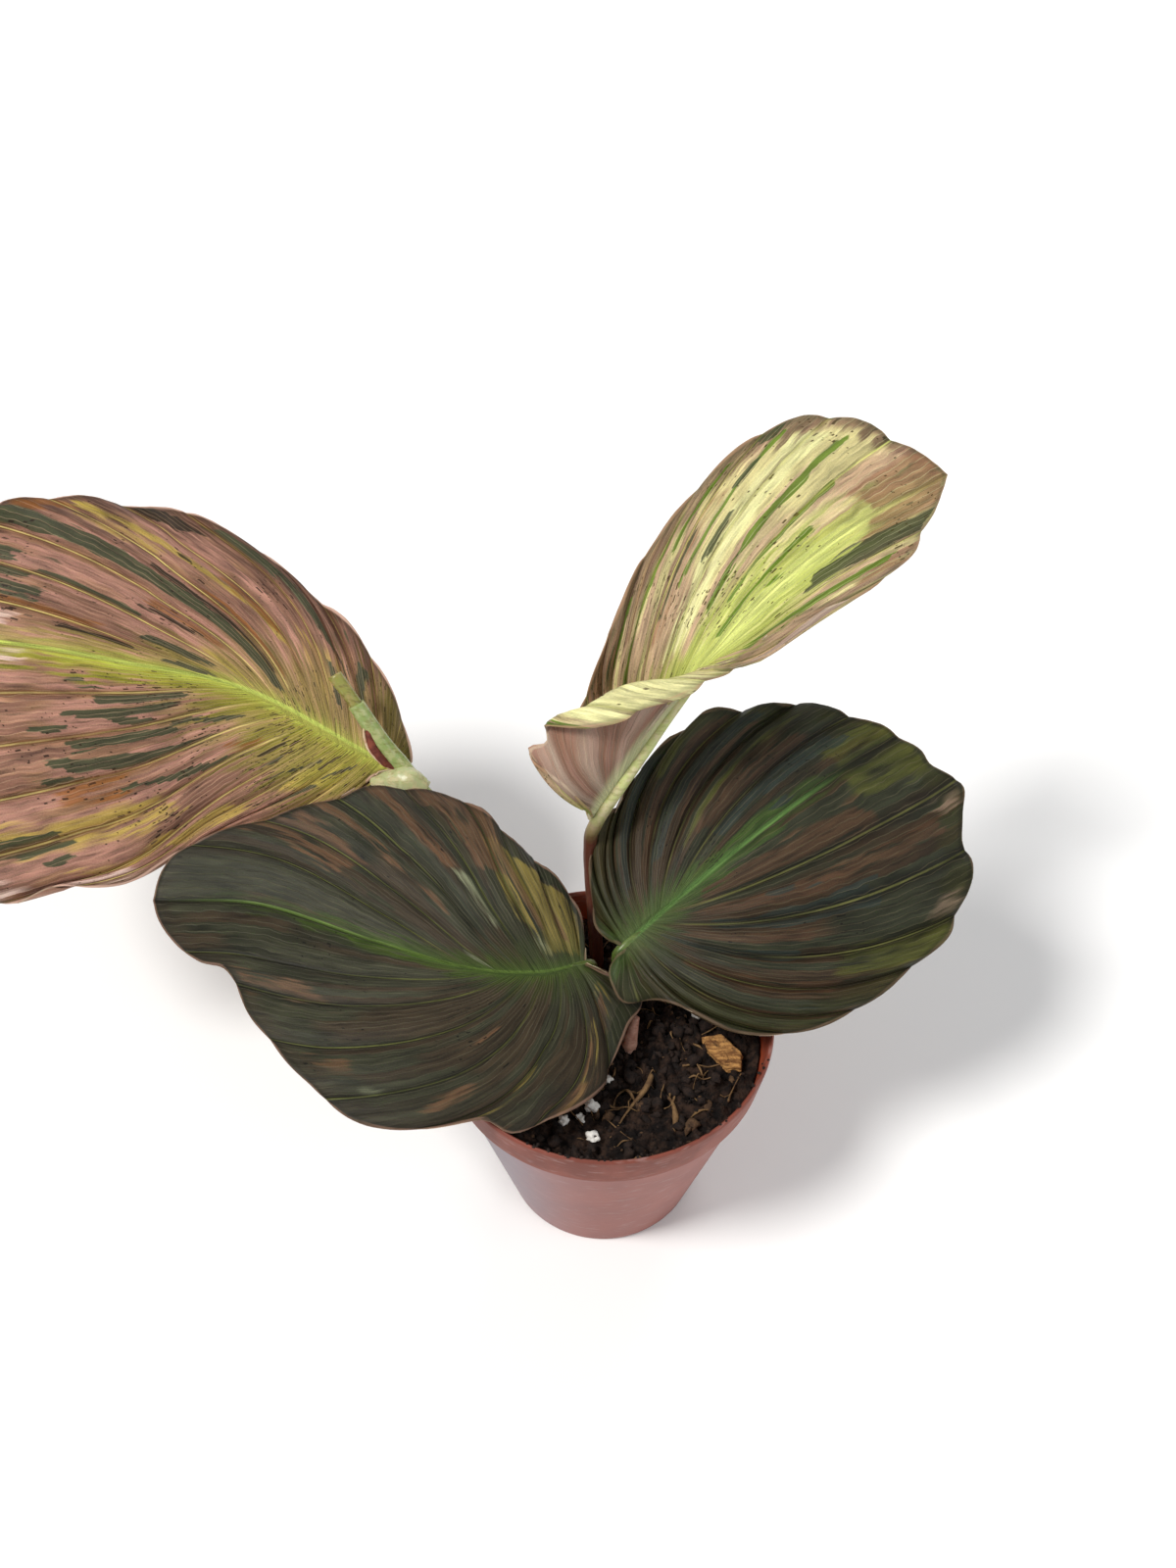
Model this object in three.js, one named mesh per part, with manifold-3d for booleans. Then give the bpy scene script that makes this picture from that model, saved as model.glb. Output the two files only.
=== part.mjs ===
// Potted kaempferia: four patterned leaves on short stalks, grown in a filled nursery pot.
// Millimetres, +Z up. The origin is the middle of the pot's flat underside, +X is the viewer's right
// and +Y points away from the viewer.
import * as THREE from "three";
import { mergeVertices } from "three/addons/utils/BufferGeometryUtils.js";
import Module from "manifold-3d";

const wasm = await Module();
wasm.setup();

const GAP = 0.3;
const SLIVER = 0.01;
const DEGREE = Math.PI / 180;
const { clamp, lerp, smoothstep } = THREE.MathUtils;

// Pot
const POT_HEIGHT = 70;
const RIM_RADIUS = 45;
const BASE_RADIUS = 27;
const BAND_HEIGHT = 12;
const BAND_FOOT_RADIUS = 43.2;
const BAND_STEP = 1.5;
const BAND_ROUND = 0.8;
const BAND_FOOT = POT_HEIGHT - BAND_HEIGHT;
const WALL_TOP_RADIUS = BAND_FOOT_RADIUS - BAND_STEP;
const WALL = 1.3;
const FLOOR = 1.8;
const LIP = 0.9;
const POT_SIDES = 60;
const DRAIN_HOLES = 6;
const DRAIN_RADIUS = 3.4;
const DRAIN_CIRCLE = 17;

// Soil
const SOIL_TOP = 60.5;
const SOIL_RINGS = 10;
const SOIL_SIDES = 46;
const SOIL_SWELL = 0.9;
const SOIL_LUMPS = 0.7;
const SOIL_CALM = 36;
const HOLE_SLACK = 0.4;

// Leaves
const LEAF_THICKNESS = 0.95;
const MARGIN_THICKNESS = 0.7;
const TURN_STEPS = 16;
const KEEL_STEPS = 6;
const KEEL_REACH = 0.88;
const KEEL_SINK = 0.55;
const KEEL_TIP = 0.55;
const ROD_STEPS = 2;

const CLAY_BROWN = 0x8c4b3a;
const SOIL_BROWN = 0x2b211d;
const BARK_TAN = 0x8a6747;
const COPPER_GREEN = 0x9a7f5c;
const DARK_GREEN = 0x3e4238;
const SLATE_GREEN = 0x3c4a3c;
const LIME_GREEN = 0xb4b665;
const STALK_GREEN = 0xa9b27c;
const SHEATH_BROWN = 0x7a573c;
const SHOOT_PINK = 0xb98a72;

// Each leaf is laid out flat first. Its spine runs in space from base to tip. faces lists the way the
// upper face looks along it. The margins are flat outlines, as [along the spine, away from it], from
// the base lobe to the tip, on the right and the left of someone who looks along the spine.
// A cross-section leaves the spine at its rise, in degrees, and turns by bend degrees a millimetre.
const UPPER_LEFT_LEAF = {
  spine: [[-63, 69, 92], [-105, 83, 108], [-138, 81, 119], [-170, 80, 126], [-205, 82, 126], [-232, 86, 118]],
  faces: [[0.28, -0.4, 1], [0.1, -0.4, 1], [-0.1, -0.4, 1]],
  margins: {
    right: [
      [0, 1], [-4, 3], [0, 10], [6, 17], [15, 23.5], [24, 28.5], [34, 33], [43, 37], [52, 42], [61, 46.5],
      [71, 50], [85, 51.5], [98, 51], [112, 48.5], [126, 42.5], [142, 34], [156, 26], [168, 16], [179, 0],
    ],
    left: [
      [0, 1], [5, 5.5], [6, 12], [9.5, 16.5], [14, 21], [16, 28], [22, 38], [29, 44.5], [39, 48.5],
      [52, 50.5], [61, 55.5], [70, 61.5], [79, 64.5], [88, 66], [97, 72], [106, 73], [116, 70],
      [130, 62], [144, 52], [158, 38], [169, 22], [179, 0],
    ],
  },
  steady: 0.4,
  rise: { right: 10, left: -2 },
  bend: { right: -0.34, left: -0.29 },
  root: 0.35,
  bow: 0.12,
  pleats: 11,
  pleatHeight: 1.1,
  scallop: 0.8,
  waves: [{ count: 4.5, height: 1.8, shift: 0.3 }, { count: 9, height: 0.8, shift: 1.1 }],
  columns: 22,
  rows: 9,
  stalk: [[-47.5, 56.7, 84.9], [-53, 61, 86.8], [-58, 65, 89.3]],
  stalkRadii: [2.1, 2.2, 2.2],
  keel: 1.7,
};

const LOWER_LEFT_LEAF = {
  spine: [[-6, 12, 77], [-18, 5, 81], [-37, 3, 84.5], [-63, 11, 85], [-95, 23, 84], [-123, 24, 83]],
  faces: [[0, -0.15, 1], [0, -0.15, 1]],
  margins: {
    right: [
      [0, 1], [0, 7], [1.5, 15], [4, 23], [10, 29], [16.5, 32.5], [28, 38.5], [39.5, 42], [50, 43.5],
      [60, 42.5], [71, 40], [78.5, 36.5], [93, 25.5], [106, 18.5], [119, 14.5], [124, 8], [125, 0],
    ],
    left: [
      [0, 1], [-7.5, 6.5], [-15, 14], [-14, 20.5], [-9, 27], [-1, 31.5], [10, 37], [16, 43], [21.5, 46],
      [25, 43.5], [28, 44], [35, 47.5], [45.5, 49.5], [56, 47], [66, 41.5], [75, 36], [84, 31.5],
      [92, 26], [100, 21], [106, 21.5], [112, 18.5], [117, 13.5], [122, 7], [125, 0],
    ],
  },
  steady: 0.4,
  rise: { right: 24, left: 5 },
  bend: { right: -0.57, left: -0.34 },
  root: 0.35,
  bow: 0.12,
  pleats: 9,
  pleatHeight: 0.9,
  scallop: 0.8,
  waves: [{ count: 4, height: 1.1, shift: 0.8 }],
  columns: 18,
  rows: 9,
  stalk: [[-6, 13, 46], [-6, 13, 54], [-6, 13, 63], [-4.5, 13.2, 72]],
  stalkRadii: [2, 2.1, 2.1, 2.1],
  keel: 1.4,
};

const RIGHT_LEAF = {
  spine: [[4, 12, 84], [22, 26, 93], [42, 41, 102], [61, 54, 109], [78, 65, 113]],
  faces: [[-0.05, -0.42, 0.9], [-0.05, -0.42, 0.9]],
  margins: {
    right: [
      [0, 1], [-6, 2], [-8.5, 6], [-9, 11.5], [-2, 17], [3, 26], [8.5, 37.5], [21, 47.5], [38, 53],
      [54, 53.5], [69, 52.5], [76, 50], [84.5, 45], [91, 39], [92.5, 33], [96, 27], [101.5, 20.5],
      [98, 12], [99, 6], [96.5, 0],
    ],
    left: [
      [0, 1], [-2, 5], [-1.5, 10], [4, 18], [11, 26], [16.5, 29], [24, 31], [35, 35], [47, 37], [59, 35.5],
      [67, 32], [75, 26], [81, 23.5], [85.5, 16], [90, 10], [95, 5], [96.5, 0],
    ],
  },
  steady: 0.4,
  rise: { right: 6, left: 12 },
  bend: { right: -0.34, left: -0.8 },
  root: 0.4,
  bow: 0.16,
  pleats: 9,
  pleatHeight: 2.4,
  scallop: 1.8,
  waves: [{ count: 3, height: 0.8, shift: 0.5 }],
  columns: 18,
  rows: 9,
  stalk: [[4.5, 14, 46], [4.5, 14, 57], [4.4, 13.9, 68], [3.2, 12.3, 78]],
  stalkRadii: [2.1, 2.2, 2.2, 2.2],
  keel: 1.6,
};

// The top leaf is still unrolling. Below its open blade both halves roll up round the spine into a
// funnel. The right half stands in front of it, and its edge turns over outward as a flap.
const TOP_LEAF = {
  spine: [
    [-5, 37, 106], [4, 40, 123], [14, 46, 138], [26, 56, 151], [42, 69, 163], [62, 84, 171], [88, 108, 171],
  ],
  faces: [
    [-0.8, 0.2, 0.47], [-0.8, 0.2, 0.47], [-0.55, -0.2, 0.75], [-0.25, -0.45, 0.85], [-0.1, -0.5, 0.85],
    [0, -0.4, 0.9], [0.2, -0.3, 0.9],
  ],
  margins: {
    right: [
      [0, 1], [4, 5], [8, 10], [12, 17], [13, 26], [17, 24.5], [22, 26], [30, 26], [37, 21], [43, 14],
      [50, 9], [58, 7], [72, 8], [86, 12], [100, 15.5], [116, 14], [128, 9.5], [138, 4], [144, 0],
    ],
    left: [
      [0, 1], [1, 8], [5, 14], [14, 18], [24, 20], [36, 22], [49, 26], [64, 30], [82, 32.5], [102, 33.5],
      [118, 29], [131, 18], [140, 7], [144, 0],
    ],
  },
  steady: 0,
  rise: { right: -12, left: 22 },
  bend: { right: -1.1, left: -0.34 },
  funnel: {
    closed: 0.24,
    open: 0.56,
    rim: [[0, 31], [10, 30], [22, 25], [30, 19], [37, 13], [43, 8], [48, 4]],
    right: { rise: 45, curl: 65, flap: -165 },
    left: { rise: 50, curl: 35, reach: 22, back: -25 },
  },
  root: 0.3,
  bow: 0.1,
  pleats: 9,
  pleatHeight: 0.8,
  scallop: 1.4,
  waves: [{ count: 5, height: 0.8, shift: 0.2 }],
  columns: 22,
  rows: 13,
  stalk: [[-3, 25, 46], [-3, 25, 54], [-3, 25.2, 63], [-5, 34.5, 84], [-7, 39.8, 97]],
  stalkRadii: [2, 2.1, 2.1, 2, 2],
  keel: 1.7,
};

// The old sheath that carries the upper left leaf, with the cut stalk of a lost leaf on it.
const LEFT_STEM = {
  path: [
    [-14, 20, 46], [-14, 20, 54], [-14.2, 20.6, 62.5], [-18, 30, 71], [-27, 41, 77], [-41, 51.5, 82.5],
    [-52.5, 60.6, 86.6],
  ],
  radii: [2.6, 2.7, 2.8, 3.2, 3.4, 3.7, 4],
};
const CUT_STALK = {
  path: [[-47, 56.4, 85.2], [-53, 59.6, 90.5], [-59, 64.3, 97], [-67.5, 69.5, 107.5], [-76.8, 79.2, 118]],
  radii: [2.6, 3.1, 3.2, 3, 2.3],
  bore: 1.5,
  boreDepth: 7,
};
const SHOOT = {
  path: [[6.6, -3.4, 46], [6.6, -3.3, 54], [6.7, -2.6, 61.5], [8.2, 0.8, 68.5]],
  radii: [1.6, 1.7, 1.8, 0.5],
};

// The dry sheath stands round the right leaf's stalk, torn at the top.
const DRY_SHEATH = { bore: 3.4, radius: 4.2, foot: 46, top: 71, teeth: 5, tear: 4.5 };

// Loose chip and grains on the soil, as [x, y], and a few thick root fibres, as [x, y, height].
const CHIP = { at: [32, -4.5], size: [14, 7, 3], turn: -54, tilt: 6, sink: 0.6 };
const GRAINS = [
  [1.3, -14.7, 1.5], [-2.9, -22.8, 1.3], [-6.4, -27, 1.1], [-10, -27.3, 1.2], [-2.4, -31.7, 1], [25, 8, 1],
];
const FIBRES = [
  [[13, -10.5, -1], [11, -17, 0.9], [6, -24, 1], [1.7, -32, -1]],
  [[16, -16, -1], [18, -20, 1], [18.8, -25, 1.2], [18.5, -29.5, -1]],
];

// A smooth line through points placed by hand, read by its length and straight beyond its ends.
class SmoothLine {
  constructor(points) {
    const vectors = points.map(([x, y, z = 0]) => new THREE.Vector3(x, y, z));
    this.curve = new THREE.CatmullRomCurve3(vectors, false, "catmullrom", 0.5);
    this.curve.arcLengthDivisions = 400;
    this.length = this.curve.getLength();
  }

  direction(distance) {
    return this.curve.getTangentAt(clamp(distance / this.length, 0, 1));
  }

  at(distance) {
    const inside = clamp(distance, 0, this.length);
    const point = this.curve.getPointAt(inside / this.length);
    return point.addScaledVector(this.direction(inside), distance - inside);
  }
}

// A value read from [place, value] pairs, straight between them.
function readAlong(pairs, place) {
  const next = pairs.findIndex(([at]) => at > place);
  if (next === 0) return pairs[0][1];
  if (next < 0) return pairs[pairs.length - 1][1];
  const [[at0, value0], [at1, value1]] = [pairs[next - 1], pairs[next]];
  return lerp(value0, value1, (place - at0) / (at1 - at0));
}

// The form of one leaf: where a point of its flat outline lies in space.
class LeafForm {
  constructor(leaf) {
    this.leaf = leaf;
    this.spine = new SmoothLine(leaf.spine);
    this.faces = new SmoothLine(leaf.faces).curve;
    this.chord = this.spine.at(this.spine.length).sub(this.spine.at(0)).normalize();
    this.margins = {
      right: new SmoothLine(leaf.margins.right),
      left: new SmoothLine(leaf.margins.left),
    };
  }

  // The slope of the cross-section, in degrees, at a distance from the spine.
  slope(share, across, hand) {
    const { rise, bend, funnel } = this.leaf;
    const open = rise[hand] + bend[hand] * across;
    if (!funnel) return open;
    const form = funnel[hand];
    let rolled = form.rise;
    if (hand === "right") {
      const rim = readAlong(funnel.rim, share * this.spine.length);
      rolled += form.curl * smoothstep(across / rim, 0, 1);
      rolled += form.flap * smoothstep(across - rim, -1, 4);
    } else {
      rolled += form.curl * smoothstep(across, 0, form.reach);
      rolled += form.back * smoothstep(across, form.reach, 2 * form.reach);
    }
    return lerp(rolled, open, smoothstep(share, funnel.closed, funnel.open));
  }

  // The way along and the way up at a place on the spine. steady draws the first toward the chord, so
  // that cross-sections don't cross one another inside a bend.
  frameAt(along) {
    const forward = this.spine.direction(along).lerp(this.chord, this.leaf.steady).normalize();
    const up = this.faces.getPoint(clamp(along / this.spine.length, 0, 1));
    up.addScaledVector(forward, -up.dot(forward)).normalize();
    return { forward, up };
  }

  place(along, across, hand) {
    const share = clamp(along / this.spine.length, 0, 1);
    const { forward, up } = this.frameAt(along);
    const outward = new THREE.Vector3().crossVectors(forward, up);
    if (hand === "left") outward.negate();
    let reach = 0;
    let lift = 0;
    for (let step = 0; step < TURN_STEPS; step += 1) {
      const angle = this.slope(share, (across * (step + 0.5)) / TURN_STEPS, hand) * DEGREE;
      reach += (Math.cos(angle) * across) / TURN_STEPS;
      lift += (Math.sin(angle) * across) / TURN_STEPS;
    }
    return this.spine.at(along).addScaledVector(outward, reach).addScaledVector(up, lift);
  }

  // Veins fan from the lower spine to the margin. vein runs from 0 at the base lobe to 1 at the tip,
  // reach from 0 at the spine to 1 at the margin.
  flat(reach, vein, hand) {
    const { root, bow, scallop } = this.leaf;
    const margin = this.margins[hand];
    const end = margin.at(vein * margin.length);
    const start = root * this.spine.length * vein ** 1.5;
    const bulge = (scallop * this.ridge(vein)) / Math.hypot(end.x - start, end.y);
    end.x += (end.x - start) * bulge;
    end.y += end.y * bulge;
    const sag = 2 * reach * (1 - reach) * bow * (1 - vein * vein);
    const along = start + reach * (end.x - start) - sag * end.y;
    const across = reach * end.y + sag * (end.x - start);
    return [along, Math.max(across, 0)];
  }

  // The pleats between the veins: half up on each ridge, half down in each valley, none at the ends.
  ridge(vein) {
    const fade = smoothstep(vein, 0, 0.06) * (1 - smoothstep(vein, 0.86, 1));
    return fade * (Math.abs(Math.sin(Math.PI * this.leaf.pleats * vein)) - 0.5);
  }

  // How far the surface stands off its plain form, with its pleats and the waves at its edge.
  relief(reach, vein) {
    const { pleatHeight, waves } = this.leaf;
    const fade = smoothstep(reach, 0.02, 0.4) * (1 - smoothstep(vein, 0.86, 1));
    let height = pleatHeight * smoothstep(reach, 0.02, 0.4) * this.ridge(vein);
    for (const wave of waves) {
      height += wave.height * reach ** 3 * fade * Math.sin(2 * Math.PI * (wave.count * vein + wave.shift));
    }
    return height;
  }
}

// Directions that stand off an indexed surface, one for each vertex.
function vertexNormals(points, faces) {
  const normals = points.map(() => new THREE.Vector3());
  for (const [a, b, c] of faces) {
    const ab = points[b].clone().sub(points[a]);
    const ac = points[c].clone().sub(points[a]);
    const normal = ab.cross(ac);
    for (const corner of [a, b, c]) normals[corner].add(normal);
  }
  return normals.map((normal) => normal.normalize());
}

function solidFrom(points, faces) {
  const vertProperties = new Float32Array(points.flatMap((point) => [point.x, point.y, point.z]));
  const triVerts = new Uint32Array(faces.flat());
  return new wasm.Manifold(new wasm.Mesh({ numProp: 3, vertProperties, triVerts }));
}

// A closed blade: the leaf's surface offset to both sides, with the same triangles on both faces.
function bladeSolid(form) {
  const { columns, rows } = form.leaf;
  const points = [];
  const places = [];
  const index = { right: [], left: [] };
  const faces = [];
  for (const hand of ["right", "left"]) {
    for (let row = 0; row <= rows; row += 1) {
      const line = [];
      for (let column = 0; column <= columns; column += 1) {
        const shared = hand === "left" && (row === 0 || column === columns);
        if (shared) {
          line.push(index.right[row][column]);
          continue;
        }
        const reach = row / rows;
        const vein = column / columns;
        line.push(points.length);
        points.push(form.place(...form.flat(reach, vein, hand), hand));
        places.push({ reach, vein });
      }
      index[hand].push(line);
    }
    for (let row = 0; row < rows; row += 1) {
      for (let column = 0; column < columns; column += 1) {
        const [a, b] = [index[hand][row][column], index[hand][row + 1][column]];
        const [d, c] = [index[hand][row][column + 1], index[hand][row + 1][column + 1]];
        const pair = [[a, b, c], [a, c, d]];
        faces.push(...(hand === "right" ? pair : pair.map((face) => face.reverse())));
      }
    }
  }
  const plainNormals = vertexNormals(points, faces);
  points.forEach((point, k) => {
    const { reach, vein } = places[k];
    point.addScaledVector(plainNormals[k], form.relief(reach, vein));
  });
  const normals = vertexNormals(points, faces);
  const half = places.map(({ reach }) => lerp(LEAF_THICKNESS, MARGIN_THICKNESS, reach) / 2);
  const upper = points.map((point, k) => point.clone().addScaledVector(normals[k], half[k]));
  const lower = points.map((point, k) => point.clone().addScaledVector(normals[k], -half[k]));
  const count = points.length;
  const closed = [...faces, ...faces.map(([a, b, c]) => [c + count, b + count, a + count])];
  const edges = new Set(faces.flatMap(([a, b, c]) => [`${a} ${b}`, `${b} ${c}`, `${c} ${a}`]));
  for (const edge of edges) {
    const [a, b] = edge.split(" ").map(Number);
    if (edges.has(`${b} ${a}`)) continue;
    closed.push([b, a, a + count], [b, a + count, b + count]);
  }
  return solidFrom([...upper, ...lower], closed);
}

// A round rod along a smooth line, with a radius for each of the line's points. grow thickens it.
function rodSolid(path, radii, { sides = 8, grow = 0 } = {}) {
  const { curve } = new SmoothLine(path);
  const steps = (path.length - 1) * ROD_STEPS;
  const normal = new THREE.Vector3(0.3, 0.95, 0.1);
  const points = [];
  const faces = [];
  for (let step = 0; step <= steps; step += 1) {
    const first = Math.min(Math.floor(step / ROD_STEPS), radii.length - 2);
    const radius = lerp(radii[first], radii[first + 1], step / ROD_STEPS - first) + grow;
    const centre = curve.getPoint(step / steps);
    const forward = curve.getTangent(step / steps);
    if (step === 0) centre.addScaledVector(forward, -grow);
    normal.addScaledVector(forward, -normal.dot(forward)).normalize();
    const across = new THREE.Vector3().crossVectors(forward, normal);
    for (let side = 0; side < sides; side += 1) {
      const angle = (2 * Math.PI * side) / sides;
      const point = centre.clone();
      point.addScaledVector(normal, radius * Math.cos(angle));
      point.addScaledVector(across, radius * Math.sin(angle));
      points.push(point);
      if (step === steps) continue;
      const [a, b] = [step * sides + side, step * sides + ((side + 1) % sides)];
      faces.push([a, b, b + sides], [a, b + sides, a + sides]);
    }
  }
  for (const [ring, turned] of [[0, true], [steps * sides, false]]) {
    for (let side = 1; side < sides - 1; side += 1) {
      const face = [ring, ring + side, ring + side + 1];
      faces.push(turned ? face.reverse() : face);
    }
  }
  return solidFrom(points, faces);
}

// A three.js geometry as a solid.
function solidOf(geometry) {
  const bare = geometry.clone();
  bare.deleteAttribute("normal");
  bare.deleteAttribute("uv");
  const merged = mergeVertices(bare, 1e-4);
  const vertProperties = merged.attributes.position.array;
  const triVerts = new Uint32Array(merged.index.array);
  return new wasm.Manifold(new wasm.Mesh({ numProp: 3, vertProperties, triVerts }));
}

function latheSolid(profile, sides) {
  const points = profile.map(([radius, height]) => new THREE.Vector2(radius, height));
  const geometry = new THREE.LatheGeometry([...points, points[0]], sides);
  return solidOf(geometry.rotateX(Math.PI / 2));
}

// The pot's inner wall from the floor up, as [height, radius].
function innerWall() {
  return [
    [FLOOR, BASE_RADIUS - WALL], [BAND_FOOT - BAND_ROUND, WALL_TOP_RADIUS - WALL],
    [BAND_FOOT + BAND_ROUND, BAND_FOOT_RADIUS - WALL], [POT_HEIGHT - LIP, RIM_RADIUS - WALL],
  ];
}

function potSolid() {
  const outside = [
    [0, 0], [BASE_RADIUS - BAND_ROUND, 0], [BASE_RADIUS, BAND_ROUND],
    [WALL_TOP_RADIUS, BAND_FOOT - BAND_ROUND], [BAND_FOOT_RADIUS, BAND_FOOT],
    [RIM_RADIUS, POT_HEIGHT - LIP], [RIM_RADIUS - 0.4 * LIP, POT_HEIGHT - 0.2 * LIP],
    [RIM_RADIUS - LIP, POT_HEIGHT],
  ];
  const inside = innerWall().reverse().map(([height, radius]) => [radius, height]);
  let pot = latheSolid([...outside, ...inside, [0, FLOOR]], POT_SIDES);
  for (let hole = 0; hole < DRAIN_HOLES; hole += 1) {
    const angle = (2 * Math.PI * (hole + 0.5)) / DRAIN_HOLES;
    const drill = new THREE.CylinderGeometry(DRAIN_RADIUS, DRAIN_RADIUS, 4 * FLOOR, 16).rotateX(Math.PI / 2);
    drill.translate(DRAIN_CIRCLE * Math.cos(angle), DRAIN_CIRCLE * Math.sin(angle), FLOOR / 2);
    pot = pot.subtract(solidOf(drill));
  }
  return pot;
}

// Radius of the soil's side at a height: the pot's inner wall less the gap.
function soilRadius(height) {
  return readAlong(innerWall(), height) - 1.2 * GAP;
}

// Height of the soil: a slow swell with lumps on it, level at the wall.
function soilHeight(x, y) {
  const swell = SOIL_SWELL * Math.sin(x / 11 + 0.6) * Math.cos(y / 9 - 0.4);
  const [u, v] = [x * 0.93 + 1.7 * Math.sin(y * 0.55), y * 0.88 + 1.3 * Math.cos(x * 0.47)];
  const lumps = SOIL_LUMPS * Math.sin(u) * Math.sin(v);
  const calm = 1 - smoothstep(Math.hypot(x, y), SOIL_CALM, soilRadius(SOIL_TOP));
  return SOIL_TOP + (swell + lumps) * calm;
}

function soilBody() {
  const foot = FLOOR + GAP;
  const shoulder = BAND_FOOT - BAND_ROUND;
  const topRadius = soilRadius(SOIL_TOP);
  const points = [new THREE.Vector3(0, 0, soilHeight(0, 0))];
  const faces = [];
  const rings = [];
  for (let ring = 1; ring <= SOIL_RINGS; ring += 1) rings.push([(topRadius * ring) / SOIL_RINGS, null]);
  rings.push([soilRadius(shoulder), shoulder], [soilRadius(foot), foot]);
  rings.forEach(([radius, height], ring) => {
    for (let side = 0; side < SOIL_SIDES; side += 1) {
      const angle = (2 * Math.PI * side) / SOIL_SIDES;
      const [x, y] = [radius * Math.cos(angle), radius * Math.sin(angle)];
      points.push(new THREE.Vector3(x, y, height ?? soilHeight(x, y)));
      const next = (side + 1) % SOIL_SIDES;
      const inner = 1 + (ring - 1) * SOIL_SIDES;
      const outer = 1 + ring * SOIL_SIDES;
      if (ring === 0) faces.push([0, 1 + side, 1 + next]);
      else faces.push([inner + side, outer + side, outer + next], [inner + side, outer + next, inner + next]);
    }
  });
  const last = 1 + (rings.length - 1) * SOIL_SIDES;
  for (let side = 1; side < SOIL_SIDES - 1; side += 1) faces.push([last + side + 1, last + side, last]);
  return solidFrom(points, faces);
}

// The bark chip, grown on every side by slack where its seat is cut.
function chipSolid(slack) {
  const [length, width, height] = CHIP.size.map((size) => size + 2 * slack);
  const outline = new THREE.Shape();
  const [a, b] = [length / 2, width / 2];
  [[-a, -b * 0.55], [-a * 0.4, -b], [a * 0.7, -b * 0.8], [a, b * 0.1], [a * 0.5, b], [-a * 0.65, b * 0.75]]
    .forEach(([x, y], k) => (k === 0 ? outline.moveTo(x, y) : outline.lineTo(x, y)));
  const chip = new THREE.ExtrudeGeometry(outline, { depth: height, bevelEnabled: false });
  const [x, y] = CHIP.at;
  chip.translate(0, 0, -height / 2).rotateX(CHIP.tilt * DEGREE).rotateZ(CHIP.turn * DEGREE);
  return solidOf(chip.translate(x, y, soilHeight(x, y) + CHIP.size[2] / 2 - CHIP.sink));
}

function sheathSolid() {
  const { bore, radius, foot, top, teeth, tear } = DRY_SHEATH;
  const [x, y] = RIGHT_LEAF.stalk[0];
  const sides = 24;
  const whole = top - tear - 3;
  const rings = [[bore, foot], [radius, foot], [radius, whole], [radius, top], [bore, top], [bore, whole]];
  const points = [];
  const faces = [];
  for (let side = 0; side < sides; side += 1) {
    const angle = (2 * Math.PI * side) / sides;
    const [cos, sin] = [Math.cos(angle), Math.sin(angle)];
    const notch = tear * (0.5 - 0.5 * Math.cos(teeth * angle)) + 1.5 * sin;
    rings.forEach(([ringRadius, height], ring) => {
      const torn = height === top ? height - notch : height;
      points.push(new THREE.Vector3(x + ringRadius * cos, y + ringRadius * sin, torn));
      const here = side * rings.length;
      const there = ((side + 1) % sides) * rings.length;
      const next = (ring + 1) % rings.length;
      faces.push([here + ring, there + ring, there + next], [here + ring, there + next, here + next]);
    });
  }
  return solidFrom(points, faces);
}

// A leaf's stalk, which runs on under the blade as its keel.
function keelRod(form, grow = 0) {
  const { stalk, stalkRadii, keel } = form.leaf;
  const path = [...stalk];
  const radii = [...stalkRadii];
  for (let step = 0; step <= KEEL_STEPS; step += 1) {
    const along = (KEEL_REACH * form.spine.length * step) / KEEL_STEPS;
    const radius = lerp(keel, KEEL_TIP, (step / KEEL_STEPS) ** 0.7);
    const { up } = form.frameAt(along);
    path.push(form.spine.at(along).addScaledVector(up, -radius * KEEL_SINK).toArray());
    radii.push(radius);
  }
  return rodSolid(path, radii, { grow });
}

function leafSolid(leaf) {
  const form = new LeafForm(leaf);
  return largestBody(bladeSolid(form).add(keelRod(form)));
}

// The one outer body of a fused solid, without sealed hollows, scraps or slivers.
function largestBody(solid) {
  const bodies = solid.decompose();
  return bodies.reduce((best, body) => (body.volume() > best.volume() ? body : best)).simplify(SLIVER);
}

function leftStemSolid() {
  const { path, radii, bore, boreDepth } = CUT_STALK;
  const stem = rodSolid(LEFT_STEM.path, LEFT_STEM.radii, { sides: 12 });
  const stub = rodSolid(path, radii, { sides: 12 });
  const line = new SmoothLine(path);
  const drillPath = [-boreDepth, -boreDepth / 2, 2].map((step) => line.at(line.length + step).toArray());
  const drill = rodSolid(drillPath, [bore, bore, bore], { sides: 10 });
  const socket = keelRod(new LeafForm(UPPER_LEFT_LEAF), GAP + 0.1);
  return largestBody(stem.add(stub).subtract(drill).subtract(socket));
}

// A grain or clod with flat sides, sunk in the soil.
function grainSolid([x, y, radius]) {
  const grain = new THREE.IcosahedronGeometry(radius, 0).scale(1, 0.85, 0.75).rotateZ(x);
  return solidOf(grain.translate(x, y, soilHeight(x, y) + 0.25 * radius));
}

function fibreSolid(points) {
  const path = points.map(([x, y, lift]) => [x, y, soilHeight(x, y) + 0.7 * lift]);
  return rodSolid(path, [0.5, 0.7, 0.7, 0.4], { sides: 6 });
}

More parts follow.
